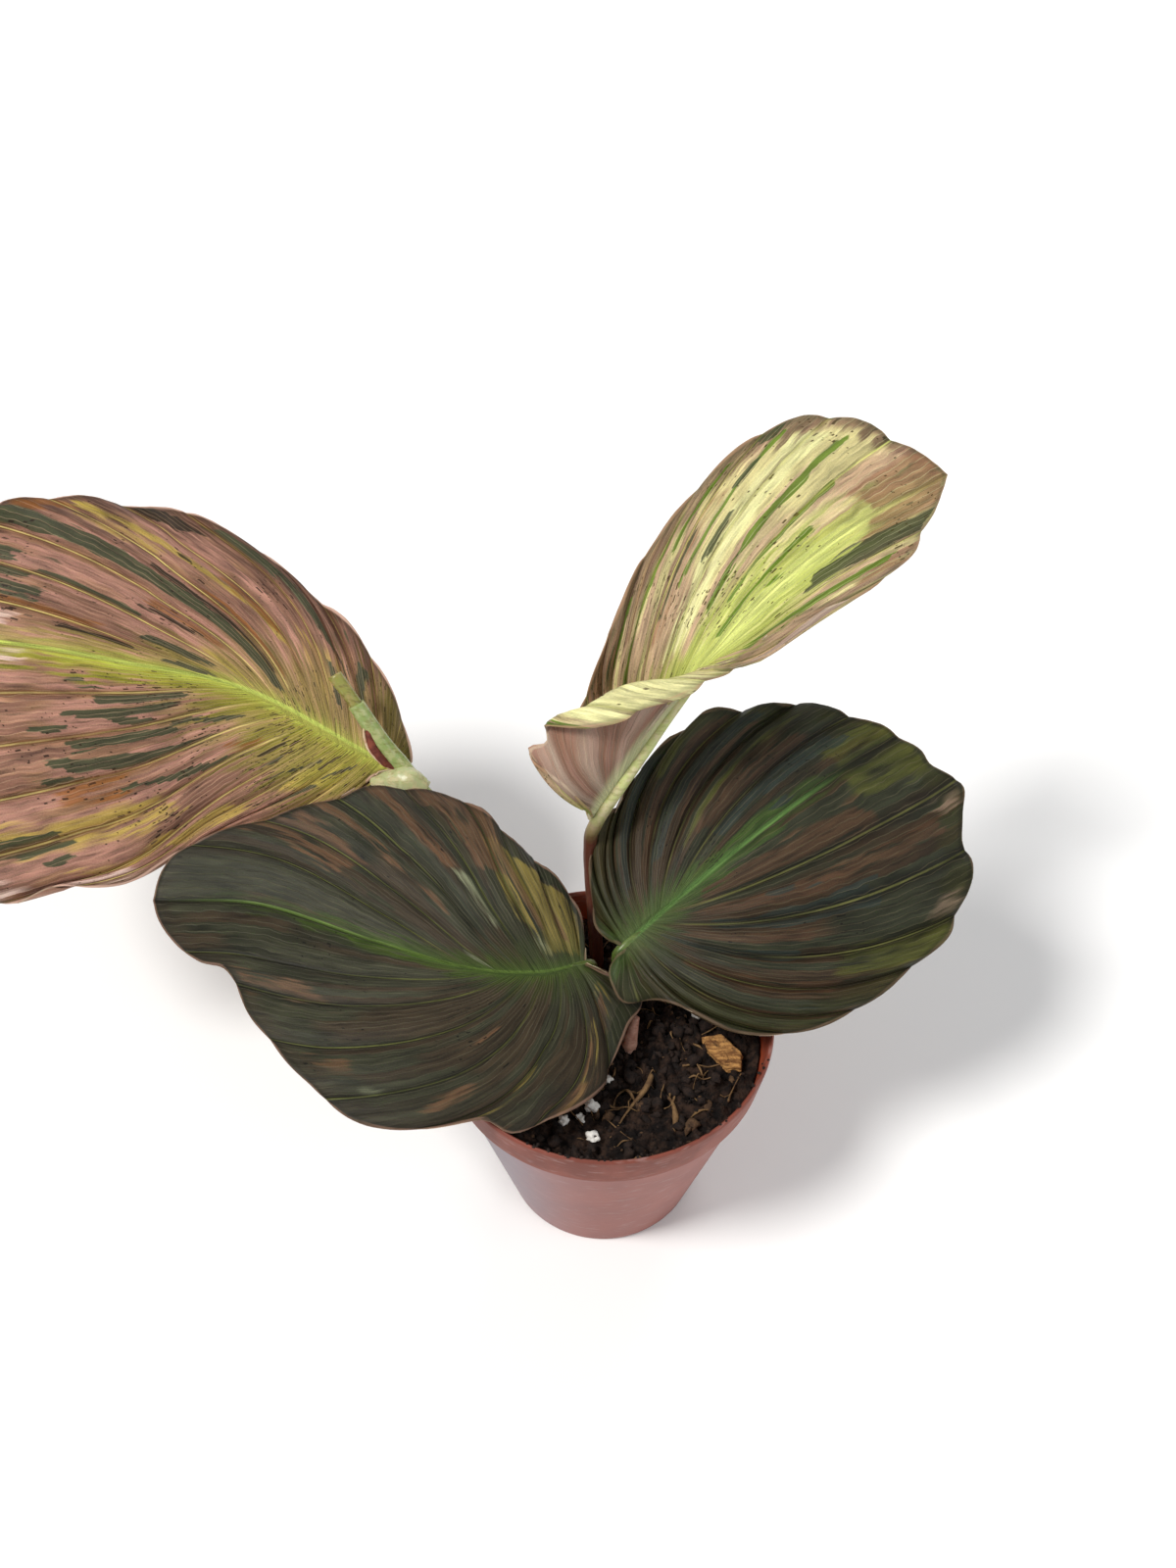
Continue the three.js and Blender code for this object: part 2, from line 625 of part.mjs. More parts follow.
function soilSolid() {
  let soil = soilBody();
  GRAINS.forEach((grain) => (soil = soil.add(grainSolid(grain))));
  FIBRES.forEach((fibre) => (soil = soil.add(fibreSolid(fibre))));
  const grow = HOLE_SLACK;
  const [x, y] = RIGHT_LEAF.stalk[0];
  const sheath = new THREE.CylinderGeometry(DRY_SHEATH.radius + grow, DRY_SHEATH.radius + grow, 40, 20);
  const holes = [
    keelRod(new LeafForm(LOWER_LEFT_LEAF), grow),
    keelRod(new LeafForm(TOP_LEAF), grow),
    rodSolid(LEFT_STEM.path, LEFT_STEM.radii, { sides: 12, grow }),
    rodSolid(SHOOT.path, SHOOT.radii, { sides: 10, grow }),
    solidOf(sheath.rotateX(Math.PI / 2).translate(x, y, DRY_SHEATH.foot - grow + 20)),
    chipSolid(grow),
  ];
  return largestBody(holes.reduce((body, hole) => body.subtract(hole), soil));
}

function meshOf(name, solid, color, roughness) {
  const { vertProperties, triVerts } = solid.getMesh();
  const geometry = new THREE.BufferGeometry();
  geometry.setAttribute("position", new THREE.BufferAttribute(vertProperties, 3));
  geometry.setIndex(new THREE.BufferAttribute(triVerts, 1));
  geometry.computeVertexNormals();
  const mesh = new THREE.Mesh(geometry, new THREE.MeshStandardMaterial({ color, roughness, metalness: 0 }));
  mesh.name = name;
  return mesh;
}

const plant = new THREE.Group();
plant.name = "potted_kaempferia";
plant.add(
  meshOf("pot", potSolid(), CLAY_BROWN, 0.6),
  meshOf("soil", soilSolid(), SOIL_BROWN, 0.95),
  meshOf("bark_chip", chipSolid(0), BARK_TAN, 0.9),
  meshOf("leaf_upper_left", leafSolid(UPPER_LEFT_LEAF), COPPER_GREEN, 0.5),
  meshOf("leaf_lower_left", leafSolid(LOWER_LEFT_LEAF), DARK_GREEN, 0.5),
  meshOf("leaf_right", leafSolid(RIGHT_LEAF), SLATE_GREEN, 0.5),
  meshOf("leaf_top", leafSolid(TOP_LEAF), LIME_GREEN, 0.5),
  meshOf("stem_left", leftStemSolid(), STALK_GREEN, 0.6),
  meshOf("dry_sheath", sheathSolid(), SHEATH_BROWN, 0.8),
  meshOf("shoot", rodSolid(SHOOT.path, SHOOT.radii, { sides: 10 }), SHOOT_PINK, 0.7),
);

export default plant;
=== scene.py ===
# Looks of the potted kaempferia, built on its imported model. Blender units are metres, +Z up.
# Leaf outlines, paths and radii are in millimetres, as the plant was measured, and scaled by MM.
import math
import random
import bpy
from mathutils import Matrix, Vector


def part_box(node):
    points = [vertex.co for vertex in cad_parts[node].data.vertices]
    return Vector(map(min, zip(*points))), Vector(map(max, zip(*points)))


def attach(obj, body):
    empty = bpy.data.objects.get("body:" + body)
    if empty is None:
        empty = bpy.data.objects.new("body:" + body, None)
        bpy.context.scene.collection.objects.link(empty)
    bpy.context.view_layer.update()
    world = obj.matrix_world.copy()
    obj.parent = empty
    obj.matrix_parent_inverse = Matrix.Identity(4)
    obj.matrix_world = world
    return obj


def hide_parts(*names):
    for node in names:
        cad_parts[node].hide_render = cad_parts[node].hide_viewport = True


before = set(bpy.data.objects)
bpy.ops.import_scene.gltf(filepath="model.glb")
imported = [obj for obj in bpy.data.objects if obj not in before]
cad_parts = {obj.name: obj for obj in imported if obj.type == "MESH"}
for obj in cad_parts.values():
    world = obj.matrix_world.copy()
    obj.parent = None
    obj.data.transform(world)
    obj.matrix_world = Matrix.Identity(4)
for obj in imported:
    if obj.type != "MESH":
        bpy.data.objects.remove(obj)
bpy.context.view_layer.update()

from types import SimpleNamespace

import bmesh
import bpy
import numpy as np
from mathutils import Matrix, Vector, noise

MM = 0.001
BODY = "root"
SEED = 7

# Camera: the photograph's view, solved on the pot's rim and base
CAMERA_AT = (0.0, -252.8, 405.4)
CAMERA_LOOKS_AT = (-7.5, 87.5, 70.0)
CAMERA_ROLL = 0.8
CAMERA_FOCAL_PX = 1590
PHOTO_HEIGHT_PX = 1600
SENSOR = 36.0

# Stage: soft lamps as (name, place in metres, spread in degrees, strength, colour)
FLOOR_REACH = 30 / MM
SKY_STRENGTH = 0.34
LIT_POINT = Vector((-0.05, 0.05, 0.08))
SUNS = [
    ("key", (-0.75, -0.35, 1.15), 17, 2.75, (1.0, 0.98, 0.95)),
    ("fill", (0.9, -0.5, 0.9), 45, 0.75, (0.94, 0.97, 1.0)),
    ("back", (0.2, 1.1, 0.9), 36, 0.65, (1.0, 1.0, 1.0)),
]

# Leaves
BLADE_ROWS = 44
COLUMNS_PER_PLEAT = 14
BLADE_THICKNESS = 0.55
EDGE_THICKNESS = 0.38
TURN_STEPS = 16
KEEL_STEPS = 6
KEEL_REACH = 0.88
KEEL_FOOT_SINK = 0.55
KEEL_TIP = 0.55
STALK_TRIM = 0.12
RUFFLE = 0.5
RUFFLES_ALONG = 23
RUFFLES_OUTWARD = 1.5
RIB_HEIGHT = 0.07
RIBS_PER_PLEAT = 4
EDGE_BULGE = 0.8
LEFT_SHIFT = 40.0

# Pot and soil
POT_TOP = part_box("pot")[1].z / MM
RIM_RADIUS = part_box("pot")[1].x / MM
BASE_RADIUS = 27
BAND_HEIGHT = 12
BAND_FOOT_RADIUS = 43.2
BAND_STEP = 1.5
BAND_ROUND = 0.8
WALL = 1.3
FLOOR = 1.8
LIP = 0.9
DRAIN_HOLES = 6
DRAIN_RADIUS = 3.4
DRAIN_CIRCLE = 17
PLATE_RADIUS = BASE_RADIUS - 6
POT_SIDES = 180
SOIL_TOP = 60.5
SOIL_SWELL = 0.9
SOIL_LUMPS = 0.7
SOIL_CALM = 36
SOIL_RADIUS = 41.75
SOIL_FOOT = [(25.4, FLOOR + 0.3), (40.1, 56.8)]
SOIL_RINGS = 105
SOIL_SIDES = 260

# Each leaf is laid out flat first. Its spine runs in space from base to tip. faces lists the way the
# upper face looks along it. The margins are flat outlines, as (along the spine, away from it), from
# the base lobe to the tip, on the right and the left of someone who looks along the spine.
# A cross-section leaves the spine at its rise, in degrees, and turns by bend degrees a millimetre.
UPPER_LEFT_LEAF = SimpleNamespace(
    spine=[
        (-63, 69, 92), (-105, 83, 108), (-138, 81, 119), (-170, 80, 126), (-205, 82, 126), (-232, 86, 118),
    ],
    faces=[(0.28, -0.4, 1), (0.1, -0.4, 1), (-0.1, -0.4, 1)],
    margins=dict(
        right=[
            (0, 1), (-4, 3), (0, 10), (6, 17), (15, 23.5), (24, 28.5), (34, 33), (43, 37), (52, 42),
            (61, 46.5), (71, 50), (85, 51.5), (98, 51), (112, 48.5), (126, 42.5), (142, 34), (156, 26),
            (168, 16), (179, 0),
        ],
        left=[
            (0, 1), (5, 5.5), (6, 12), (9.5, 16.5), (14, 21), (16, 28), (22, 38), (29, 44.5), (39, 48.5),
            (52, 50.5), (61, 55.5), (70, 61.5), (79, 64.5), (88, 66), (97, 72), (106, 73), (116, 70),
            (130, 62), (144, 52), (158, 38), (169, 22), (179, 0),
        ],
    ),
    steady=0.4,
    rise=dict(right=10, left=-2),
    bend=dict(right=-0.34, left=-0.29),
    fan=dict(right=(0.35, 0.14), left=(0.3, 0.2)),
    pleats=11,
    pleat_height=1.5,
    scallop=0.8,
    waves=[(4.5, 1.8, 0.3), (9, 0.8, 1.1)],
    stalk=[(-47.5, 56.7, 84.9), (-53, 61, 86.8), (-58, 65, 89.3)],
    stalk_radii=[2.1, 2.2, 2.2],
    keel=1.7,
    keel_sink=1.3,
)

LOWER_LEFT_LEAF = SimpleNamespace(
    spine=[(-6, 12, 77), (-18, 5, 81), (-37, 3, 84.5), (-63, 11, 85), (-95, 23, 84), (-123, 24, 83)],
    faces=[(0, -0.15, 1), (0, -0.15, 1)],
    margins=dict(
        right=[
            (0, 1), (-0.5, 7), (0.5, 15), (4.5, 24.5), (10, 29.5), (18, 34.5), (27, 38.5), (36, 42),
            (44, 45), (51, 47), (61, 46.5), (70, 44), (78, 40), (93, 29), (106, 20.5), (119, 14.5),
            (124, 8), (125, 0),
        ],
        left=[
            (0, 1), (-7.5, 6.5), (-14, 12.5), (-13, 17.5), (-8, 21), (-5, 25), (0, 32), (7, 36.5),
            (12, 40), (17.5, 43.5), (21.5, 44.5), (25, 41.5), (28, 42), (34, 45), (40, 47), (47, 47.5),
            (56, 45.5), (65, 41), (72, 37.5), (82, 32.5), (90, 27), (98, 21.5), (106, 20.5), (112, 17.5),
            (117, 12.5), (122, 6), (125, 0),
        ],
    ),
    steady=0.4,
    rise=dict(right=24, left=5),
    bend=dict(right=-0.57, left=-0.34),
    fan=dict(right=(0.3, 0.14), left=(0.25, 0.28)),
    pleats=9,
    pleat_height=1.2,
    scallop=0.8,
    waves=[(4, 1.1, 0.8)],
    stalk=[(-6, 13, 46), (-6, 13, 54), (-6, 13, 63), (-4.5, 13.2, 72)],
    stalk_radii=[2, 2.1, 2.1, 2.1],
    keel=1.4,
    keel_sink=1.4,
)

RIGHT_LEAF = SimpleNamespace(
    spine=[(4, 12, 84), (22, 26, 93), (42, 41, 102), (61, 54, 109), (78, 65, 113)],
    faces=[(-0.05, -0.42, 0.9), (-0.05, -0.42, 0.9)],
    margins=dict(
        right=[
            (0, 1), (-6, 2), (-8.5, 6), (-9, 11.5), (-2, 17), (3, 26), (8.5, 37.5), (21, 47.5), (38, 53),
            (54, 53.5), (69, 52.5), (76, 50), (84.5, 45), (91, 39), (92.5, 33), (96, 27), (101.5, 20.5),
            (98, 12), (99, 6), (96.5, 0),
        ],
        left=[
            (0, 1), (-2, 5), (-1.5, 10), (4, 18), (11, 26), (16.5, 29), (24, 31), (35, 35), (47, 37),
            (59, 35.5), (67, 32), (75, 26), (81, 23.5), (85.5, 16), (90, 10), (95, 5), (96.5, 0),
        ],
    ),
    steady=0.4,
    rise=dict(right=6, left=12),
    bend=dict(right=-0.34, left=-0.8),
    fan=dict(right=(0.15, 0.34), left=(0.2, 0.34)),
    pleats=9,
    pleat_height=2.3,
    scallop=0.8,
    waves=[(3, 1.2, 0.5), (7, 0.7, 0.1)],
    stalk=[(4.5, 14, 46), (4.5, 14, 57), (4.4, 13.9, 68), (3.2, 12.3, 78)],
    stalk_radii=[2.1, 2.2, 2.2, 2.2],
    keel=1.6,
    keel_sink=1.4,
)

# The top leaf is still unrolling. Below its open blade both halves roll up round the spine into a
# funnel. The right half stands in front of it, and its edge turns over outward as a flap.
TOP_LEAF = SimpleNamespace(
    spine=[
        (-5, 37, 106), (4, 40, 123), (14, 46, 138), (26, 56, 151), (42, 69, 163), (62, 84, 171),
        (88, 108, 171),
    ],
    faces=[
        (-0.8, 0.2, 0.47), (-0.8, 0.2, 0.47), (-0.55, -0.2, 0.75), (-0.25, -0.45, 0.85),
        (-0.1, -0.5, 0.85), (0, -0.4, 0.9), (0.2, -0.3, 0.9),
    ],
    margins=dict(
        right=[
            (0, 1), (4, 3.5), (7, 8), (10.5, 15), (12.5, 27.5), (17, 25), (21, 28.5), (27, 32),
            (33, 30.5), (39, 25.5), (45, 19.5), (52, 12.5), (60, 8), (72, 7.5), (86, 12), (100, 15.5),
            (116, 14), (128, 9.5), (138, 4), (144, 0),
        ],
        left=[
            (0, 1), (2.5, 6), (7, 12.5), (15, 17.5), (24, 20), (36, 22), (49, 26), (64, 30), (82, 32.5),
            (102, 33.5), (118, 29), (131, 18), (140, 7), (144, 0),
        ],
    ),
    steady=0,
    rise=dict(right=-12, left=22),
    bend=dict(right=-1.1, left=-0.34),
    funnel=dict(
        closed=0.27,
        open=0.5,
        rim=[(0, 31), (10, 30), (18, 27), (24, 25), (30, 22), (37, 17.5), (43, 13), (50, 8.5), (56, 5)],
        right=dict(rise=45, curl=65, flap=-165),
        left=dict(rise=50, curl=35, reach=22, back=-25),
    ),
    fan=dict(right=(0.3, 0.1), left=(0.3, 0.1)),
    pleats=9,
    pleat_height=1.1,
    scallop=1.4,
    waves=[(5, 0.8, 0.2)],
    stalk=[(-3, 25, 46), (-3, 25, 54), (-3, 25.2, 63), (-4.6, 32, 82), (-5.6, 36, 96)],
    stalk_radii=[2, 2.1, 2.1, 2, 1.9],
    keel=2.0,
    keel_sink=0.75,
)

LEFT_STEM = dict(
    path=[
        (-14, 20, 46), (-14, 20, 54), (-14.2, 20.6, 62.5), (-18, 30, 71), (-27, 41, 77), (-41, 51.5, 82.5),
        (-52.5, 60.6, 86.6),
    ],
    radii=[2.6, 2.7, 2.8, 3.2, 3.4, 3.7, 4],
)
STEM_TRIM = 0.05
# The stub of a lost leaf: a wide sleeve, a narrower core inside it, a knob at its foot, a dry membrane
CUT_STALK = [
    (-47, 56.4, 85.2), (-53, 59.6, 90.5), (-59.5, 64.4, 97), (-66, 68.4, 104), (-73, 74, 112.2),
    (-79.3, 79.6, 118),
]
SLEEVE_RADII = [2.3, 2.5, 2.5, 2.4, 2.4]
CORE_RADII = [1.8, 1.8, 2.1]
KNOB = dict(
    path=[(-68.6, 62.2, 93.2), (-62.6, 61.2, 95.3), (-57.6, 60.3, 96.3), (-53.2, 59.2, 93.4)],
    radii=[1.2, 3.0, 3.6, 2.8],
)
MEMBRANE = dict(
    path=[
        (-61.2, 63.2, 97), (-64.8, 64, 99.6), (-67.9, 66, 103.2), (-69.2, 68.6, 106.8),
        (-69.4, 70.4, 108.4),
    ],
    radii=[0.5, 1.2, 1.3, 0.9, 0.3],
)
MEMBRANE_EDGE = dict(
    path=[
        (-62.1, 62.9, 97.4), (-65.9, 63.7, 99.8), (-69.2, 65.6, 103), (-70.5, 68.2, 106.4),
        (-70.2, 70.6, 108.8),
    ],
    radii=[0.4, 0.5, 0.45, 0.4, 0.25],
)
SHOOT = dict(
    path=[(6.6, -3.4, 46), (6.6, -3.3, 54), (6.7, -2.6, 61.5), (8.2, 0.8, 68.5)],
    radii=[1.6, 1.8, 2.1, 0.9],
)
DRY_SHEATH = SimpleNamespace(at=(4.5, 14), bore=3.55, radius=4.2, foot=46, top=71, teeth=5, tear=4.5)
BARK = SimpleNamespace(at=(32, -4.5), size=(14, 7, 3), turn=-54, tilt=6, sink=0.6, layers=9)
BARK_OUTLINE = [(-1, -0.55), (-0.4, -1), (0.7, -0.8), (1, 0.1), (0.5, 1), (-0.65, 0.75)]

# Loose things on the soil: perlite as (x, y, size), two thick fibres as (x, y, lift) and a radius
CRUMBS = 620
SMALL_CRUMB = 0.9
DARK_CRUMB_SHARE = 0.8
RIM_CRUMBS = 46
RIM_CRUMB_ARC = (-115, -15)
STREWN_PERLITE = 11
PERLITE = [
    (1.3, -14.7, 1.8), (-2.9, -22.8, 1.9), (-5.6, -26, 1.5), (-10, -27.3, 1.5), (-2.4, -31.7, 1.6),
    (25, 8, 1.7),
]
FIBRES = [
    ([(13, -10.5, -1), (11, -17, 0.9), (6, -24, 1), (1.7, -32, -1)], 0.75),
    ([(16, -16, -1), (18, -20, 1), (18.8, -25, 1.2), (18.5, -29.5, -1)], 0.8),
]
THIN_FIBRES = 150
KEPT_CLEAR = [(-14, 20, 4), (-6, 13, 3.5), (4.5, 14, 5.5), (-3, 25, 3.5), (6.6, -3.4, 3.2), (32, -4.5, 7)]


def srgb(red, green, blue):
    """A colour given in screen values, 0 to 255, as the shader's linear one."""
    linear = []
    for value in (red, green, blue):
        share = value / 255
        linear.append(share / 12.92 if share <= 0.04045 else ((share + 0.055) / 1.055) ** 2.4)
    return (*linear, 1.0)


def smooth(value, low, high):
    share = np.clip((np.asarray(value, float) - low) / (high - low), 0, 1)
    return share * share * (3 - 2 * share)


def mix(first, second, share):
    return first + (second - first) * share


def unit(vectors):
    return vectors / np.linalg.norm(vectors, axis=-1, keepdims=True)


class Line:
    """A smooth line through given points, read by its length and straight beyond its ends."""

    SPAN = 60

    def __init__(self, points):
        points = np.array([(*point, 0.0)[:3] for point in points], float)
        self.spans = len(points) - 1
        padded = np.vstack([2 * points[0] - points[1], points, 2 * points[-1] - points[-2]])
        self.steps = np.linspace(0, self.spans, self.SPAN * self.spans + 1)
        first = np.minimum(self.steps.astype(int), self.spans - 1)
        t = (self.steps - first)[:, None]
        p0, p1, p2, p3 = (padded[first + k] for k in range(4))
        leave, arrive = 0.5 * (p2 - p0), 0.5 * (p3 - p1)
        cubic = 2 * p1 - 2 * p2 + leave + arrive
        square = 3 * p2 - 3 * p1 - 2 * leave - arrive
        self.samples = p1 + leave * t + square * t**2 + cubic * t**3
        gaps = np.linalg.norm(np.diff(self.samples, axis=0), axis=1)
        self.marks = np.concatenate([[0], np.cumsum(gaps)])
        self.length = self.marks[-1]
        self.ways = unit(np.gradient(self.samples, self.marks, axis=0))

    @staticmethod
    def read(place, places, values):
        return np.stack([np.interp(place, places, values[:, k]) for k in range(3)], -1)

    def direction(self, distance):
        return unit(self.read(distance, self.marks, self.ways))

    def at(self, distance):
        inside = np.clip(distance, 0, self.length)
        beyond = np.asarray(distance - inside)[..., None]
        return self.read(inside, self.marks, self.samples) + self.direction(inside) * beyond

    def at_step(self, step):
        """The point and direction at a place counted in given points, from 0 to spans."""
        return self.read(step, self.steps, self.samples), unit(self.read(step, self.steps, self.ways))


class LeafForm:
    """The form of one leaf: where a point of its flat outline lies in space."""

    def __init__(self, leaf):
        self.leaf = leaf
        self.spine = Line(leaf.spine)
        self.faces = Line(leaf.faces)
        self.chord = unit(self.spine.samples[-1] - self.spine.samples[0])
        self.margins = {hand: Line(points) for hand, points in leaf.margins.items()}

    def slope(self, share, across, hand):
        """The slope of the cross-section, in degrees, at a distance from the spine."""
        leaf = self.leaf
        opened = leaf.rise[hand] + leaf.bend[hand] * across
        funnel = getattr(leaf, "funnel", None)
        if not funnel:
            return opened
        form = funnel[hand]
        if hand == "right":
            places, heights = zip(*funnel["rim"])
            rim = np.interp(share * self.spine.length, places, heights)
            rolled = form["rise"] + form["curl"] * smooth(across / rim, 0, 1)
            rolled = rolled + form["flap"] * smooth(across - rim, -1, 4)
        else:
            rolled = form["rise"] + form["curl"] * smooth(across, 0, form["reach"])
            rolled = rolled + form["back"] * smooth(across, form["reach"], 2 * form["reach"])
        return mix(rolled, opened, smooth(share, funnel["closed"], funnel["open"]))

    def frame_at(self, along):
        """The way along and the way up at a place on the spine, steadied toward the chord."""
        forward = self.spine.direction(np.clip(along, 0, self.spine.length))
        forward = unit(mix(forward, self.chord, self.leaf.steady))
        share = np.clip(along / self.spine.length, 0, 1)
        up = self.faces.at_step(share * self.faces.spans)[0]
        up = unit(up - forward * np.sum(up * forward, -1, keepdims=True))
        return forward, up

    def place(self, along, across, hand):
        share = np.clip(along / self.spine.length, 0, 1)
        forward, up = self.frame_at(along)
        outward = np.cross(forward, up) * (1 if hand == "right" else -1)
        reach = np.zeros_like(along)
        lift = np.zeros_like(along)
        for step in range(TURN_STEPS):
            angle = np.radians(self.slope(share, across * (step + 0.5) / TURN_STEPS, hand))
            reach += np.cos(angle) * across / TURN_STEPS
            lift += np.sin(angle) * across / TURN_STEPS
        return self.spine.at(along) + outward * reach[..., None] + up * lift[..., None]

    def ridge(self, vein):
        """The pleats between the veins: half up on each ridge, half down in each valley."""
        fade = smooth(vein, 0, 0.06) * (1 - smooth(vein, 0.86, 1))
        return fade * (np.abs(np.sin(math.pi * self.leaf.pleats * vein)) - 0.5)

    def flat(self, reach, vein, hand):
        """Veins fan from the lower spine to the margin: vein runs from the base lobe to the tip."""
        leaf, margin = self.leaf, self.margins[hand]
        end = margin.at(vein * margin.length)
        root, bow = leaf.fan[hand]
        start = root * self.spine.length * vein**1.5
        run, rise = end[..., 0] - start, end[..., 1]
        bulge = 1 + leaf.scallop * self.ridge(vein) / np.hypot(run, rise)
        run, rise = run * bulge, rise * bulge
        sag = 2 * reach * (1 - reach) * bow * smooth(vein, 0, 0.45) * (1 - vein**4)
        return start + reach * run - sag * rise, np.maximum(reach * rise + sag * run, 0)

    def relief(self, reach, vein):
        """How far the surface stands off its plain form, with its pleats and the waves at its edge."""
        fade = smooth(reach, 0.02, 0.4) * (1 - smooth(vein, 0.86, 1))
        height = self.leaf.pleat_height * smooth(reach, 0.02, 0.4) * self.ridge(vein)
        for count, amount, shift in self.leaf.waves:
            height = height + amount * reach**3 * fade * np.sin(2 * math.pi * (count * vein + shift))
        return height


def vertex_normals(points, quads):
    """Directions that stand off an indexed surface, one for each vertex."""
    normals = np.zeros_like(points)
    a, b, c, d = (points[quads[:, k]] for k in range(4))
    face = np.cross(c - a, d - b)
    for k in range(4):
        np.add.at(normals, quads[:, k], face)
    return normals / np.maximum(np.linalg.norm(normals, axis=1, keepdims=True), 1e-12)


def make_object(name, points, faces, materials, smooth_shade=True):
    """A mesh object from points in millimetres."""
    mesh = bpy.data.meshes.new(name)
    mesh.from_pydata((np.asarray(points) * MM).tolist(), [], [list(map(int, face)) for face in faces])
    mesh.update()
    mesh.polygons.foreach_set("use_smooth", [smooth_shade] * len(mesh.polygons))
    for material in materials:
        mesh.materials.append(material)
    piece = bpy.data.objects.new(name, mesh)
    bpy.context.scene.collection.objects.link(piece)
    return piece


def add_piece(name, surface, looks, slot, *nodes, smooth_shade=True):
    """A piece that rides on the plant, with the solids that it stands for. The name of its finish is not
    used.
    """
    piece = make_object(name, *surface, looks, smooth_shade)
    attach(piece, BODY)
    if nodes:
        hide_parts(*nodes)
    return piece


def turns(sides):
    return np.arange(sides) * 2 * math.pi / sides


def circle(radius, height, sides):
    angles = turns(sides)
    return np.stack([radius * np.cos(angles), radius * np.sin(angles), np.full(sides, height)], 1)


class Value:
    """A number or vector that shader nodes make, so that a look reads as formulas."""

    def __init__(self, look, socket):
        self.look = look
        self.socket = socket

    def __add__(self, other):
        return self.look.math("ADD", self, other)

    def __sub__(self, other):
        return self.look.math("SUBTRACT", self, other)

    def __rsub__(self, other):
        return self.look.math("SUBTRACT", other, self)

    def __mul__(self, other):
        return self.look.math("MULTIPLY", self, other)

    def __truediv__(self, other):
        return self.look.math("DIVIDE", self, other)

    def __abs__(self):
        return self.look.math("ABSOLUTE", self)

    __radd__ = __add__
    __rmul__ = __mul__


class Look:
    """A material painted from the ground up. Constant settings stand on the shader's own sockets."""

    def __init__(self, name, **settings):
        self.material = bpy.data.materials.new(name)
        self.material.use_nodes = True
        self.tree = self.material.node_tree
        self.shader = self.tree.nodes["Principled BSDF"]
        self.colour = None
        for socket, value in settings.items():
            self.put(value, self.shader.inputs[socket.replace("_", " ")])

    def put(self, value, socket):
        if isinstance(value, Value):
            self.tree.links.new(value.socket, socket)
        else:
            socket.default_value = value

    def outputs(self, kind, inputs, **settings):
        """The outputs of a new node, with its inputs given by name or place."""
        made = self.tree.nodes.new(kind)
        for key, value in settings.items():
            setattr(made, key, value)
        for key, value in inputs.items():
            self.put(value, made.inputs[key])
        return made.outputs

    def node(self, kind, inputs, output=0, **settings):
        return Value(self, self.outputs(kind, inputs, **settings)[output])

    def math(self, operation, *values):
        return self.node("ShaderNodeMath", dict(enumerate(values)), operation=operation)

    def most(self, a, b):
        return self.math("MAXIMUM", a, b)

    def step(self, value, low, high, kind="SMOOTHSTEP"):
        """0 below low, 1 above high."""
        return self.node("ShaderNodeMapRange", {0: value, 1: low, 2: high}, interpolation_type=kind)

    def fall(self, value, low, high):
        """1 below low, 0 above high."""
        return 1 - self.step(value, low, high)

    def vector(self, x, y, z=0.0):
        return self.node("ShaderNodeCombineXYZ", {0: x, 1: y, 2: z})

    def split(self, vector):
        return [Value(self, socket) for socket in self.outputs("ShaderNodeSeparateXYZ", {0: vector})]

    def marks(self, name):
        """The three numbers of a vector that the mesh carries."""
        return self.split(self.node("ShaderNodeAttribute", {}, "Vector", attribute_name=name))

    def place(self):
        return self.node("ShaderNodeTexCoord", {}, "Object")

    def turned(self, vector, rotation, scale):
        return self.node("ShaderNodeMapping", {"Vector": vector, "Rotation": rotation, "Scale": scale})

    def noise(self, vector, scale=1.0, detail=2.0, roughness=0.5):
        settings = {"Vector": vector, "Scale": scale, "Detail": detail, "Roughness": roughness}
        return self.node("ShaderNodeTexNoise", settings)

    def streak(self, u, v, side, count, length, shift):
        """Noise along the fine veins: count cells between two main veins, each with its own values."""
        cell = self.math("FLOOR", u * count)
        return self.noise(self.vector(cell * 3.7, v * (1 / length), side + shift * 5.3), 1.0, 0.0)

    def mix(self, first, second, share):
        return self.node("ShaderNodeMix", {0: share, 6: first, 7: second}, 2, data_type="RGBA")

    def paint(self, colour, share=None):
        """Lays a colour over what is painted so far."""
        self.colour = colour if share is None else self.mix(self.colour, colour, share)

    def shade(self, colour, amount):
        """A colour made lighter or darker: amount 1 leaves it as it is."""
        colour = colour[:3] if isinstance(colour, tuple) else colour
        return self.node("ShaderNodeVectorMath", {0: colour, "Scale": amount}, operation="SCALE")

    def finish(self, height=None, **settings):
        """Ends the look with its relief, in millimetres, and settings that vary from place to place."""
        settings["Base Color"] = self.colour
        if height is not None:
            bump = {"Distance": MM, "Strength": 1.0, "Height": height}
            settings["Normal"] = self.node("ShaderNodeBump", bump)
        for socket, value in settings.items():
            self.put(value, self.shader.inputs[socket])
        return self.material
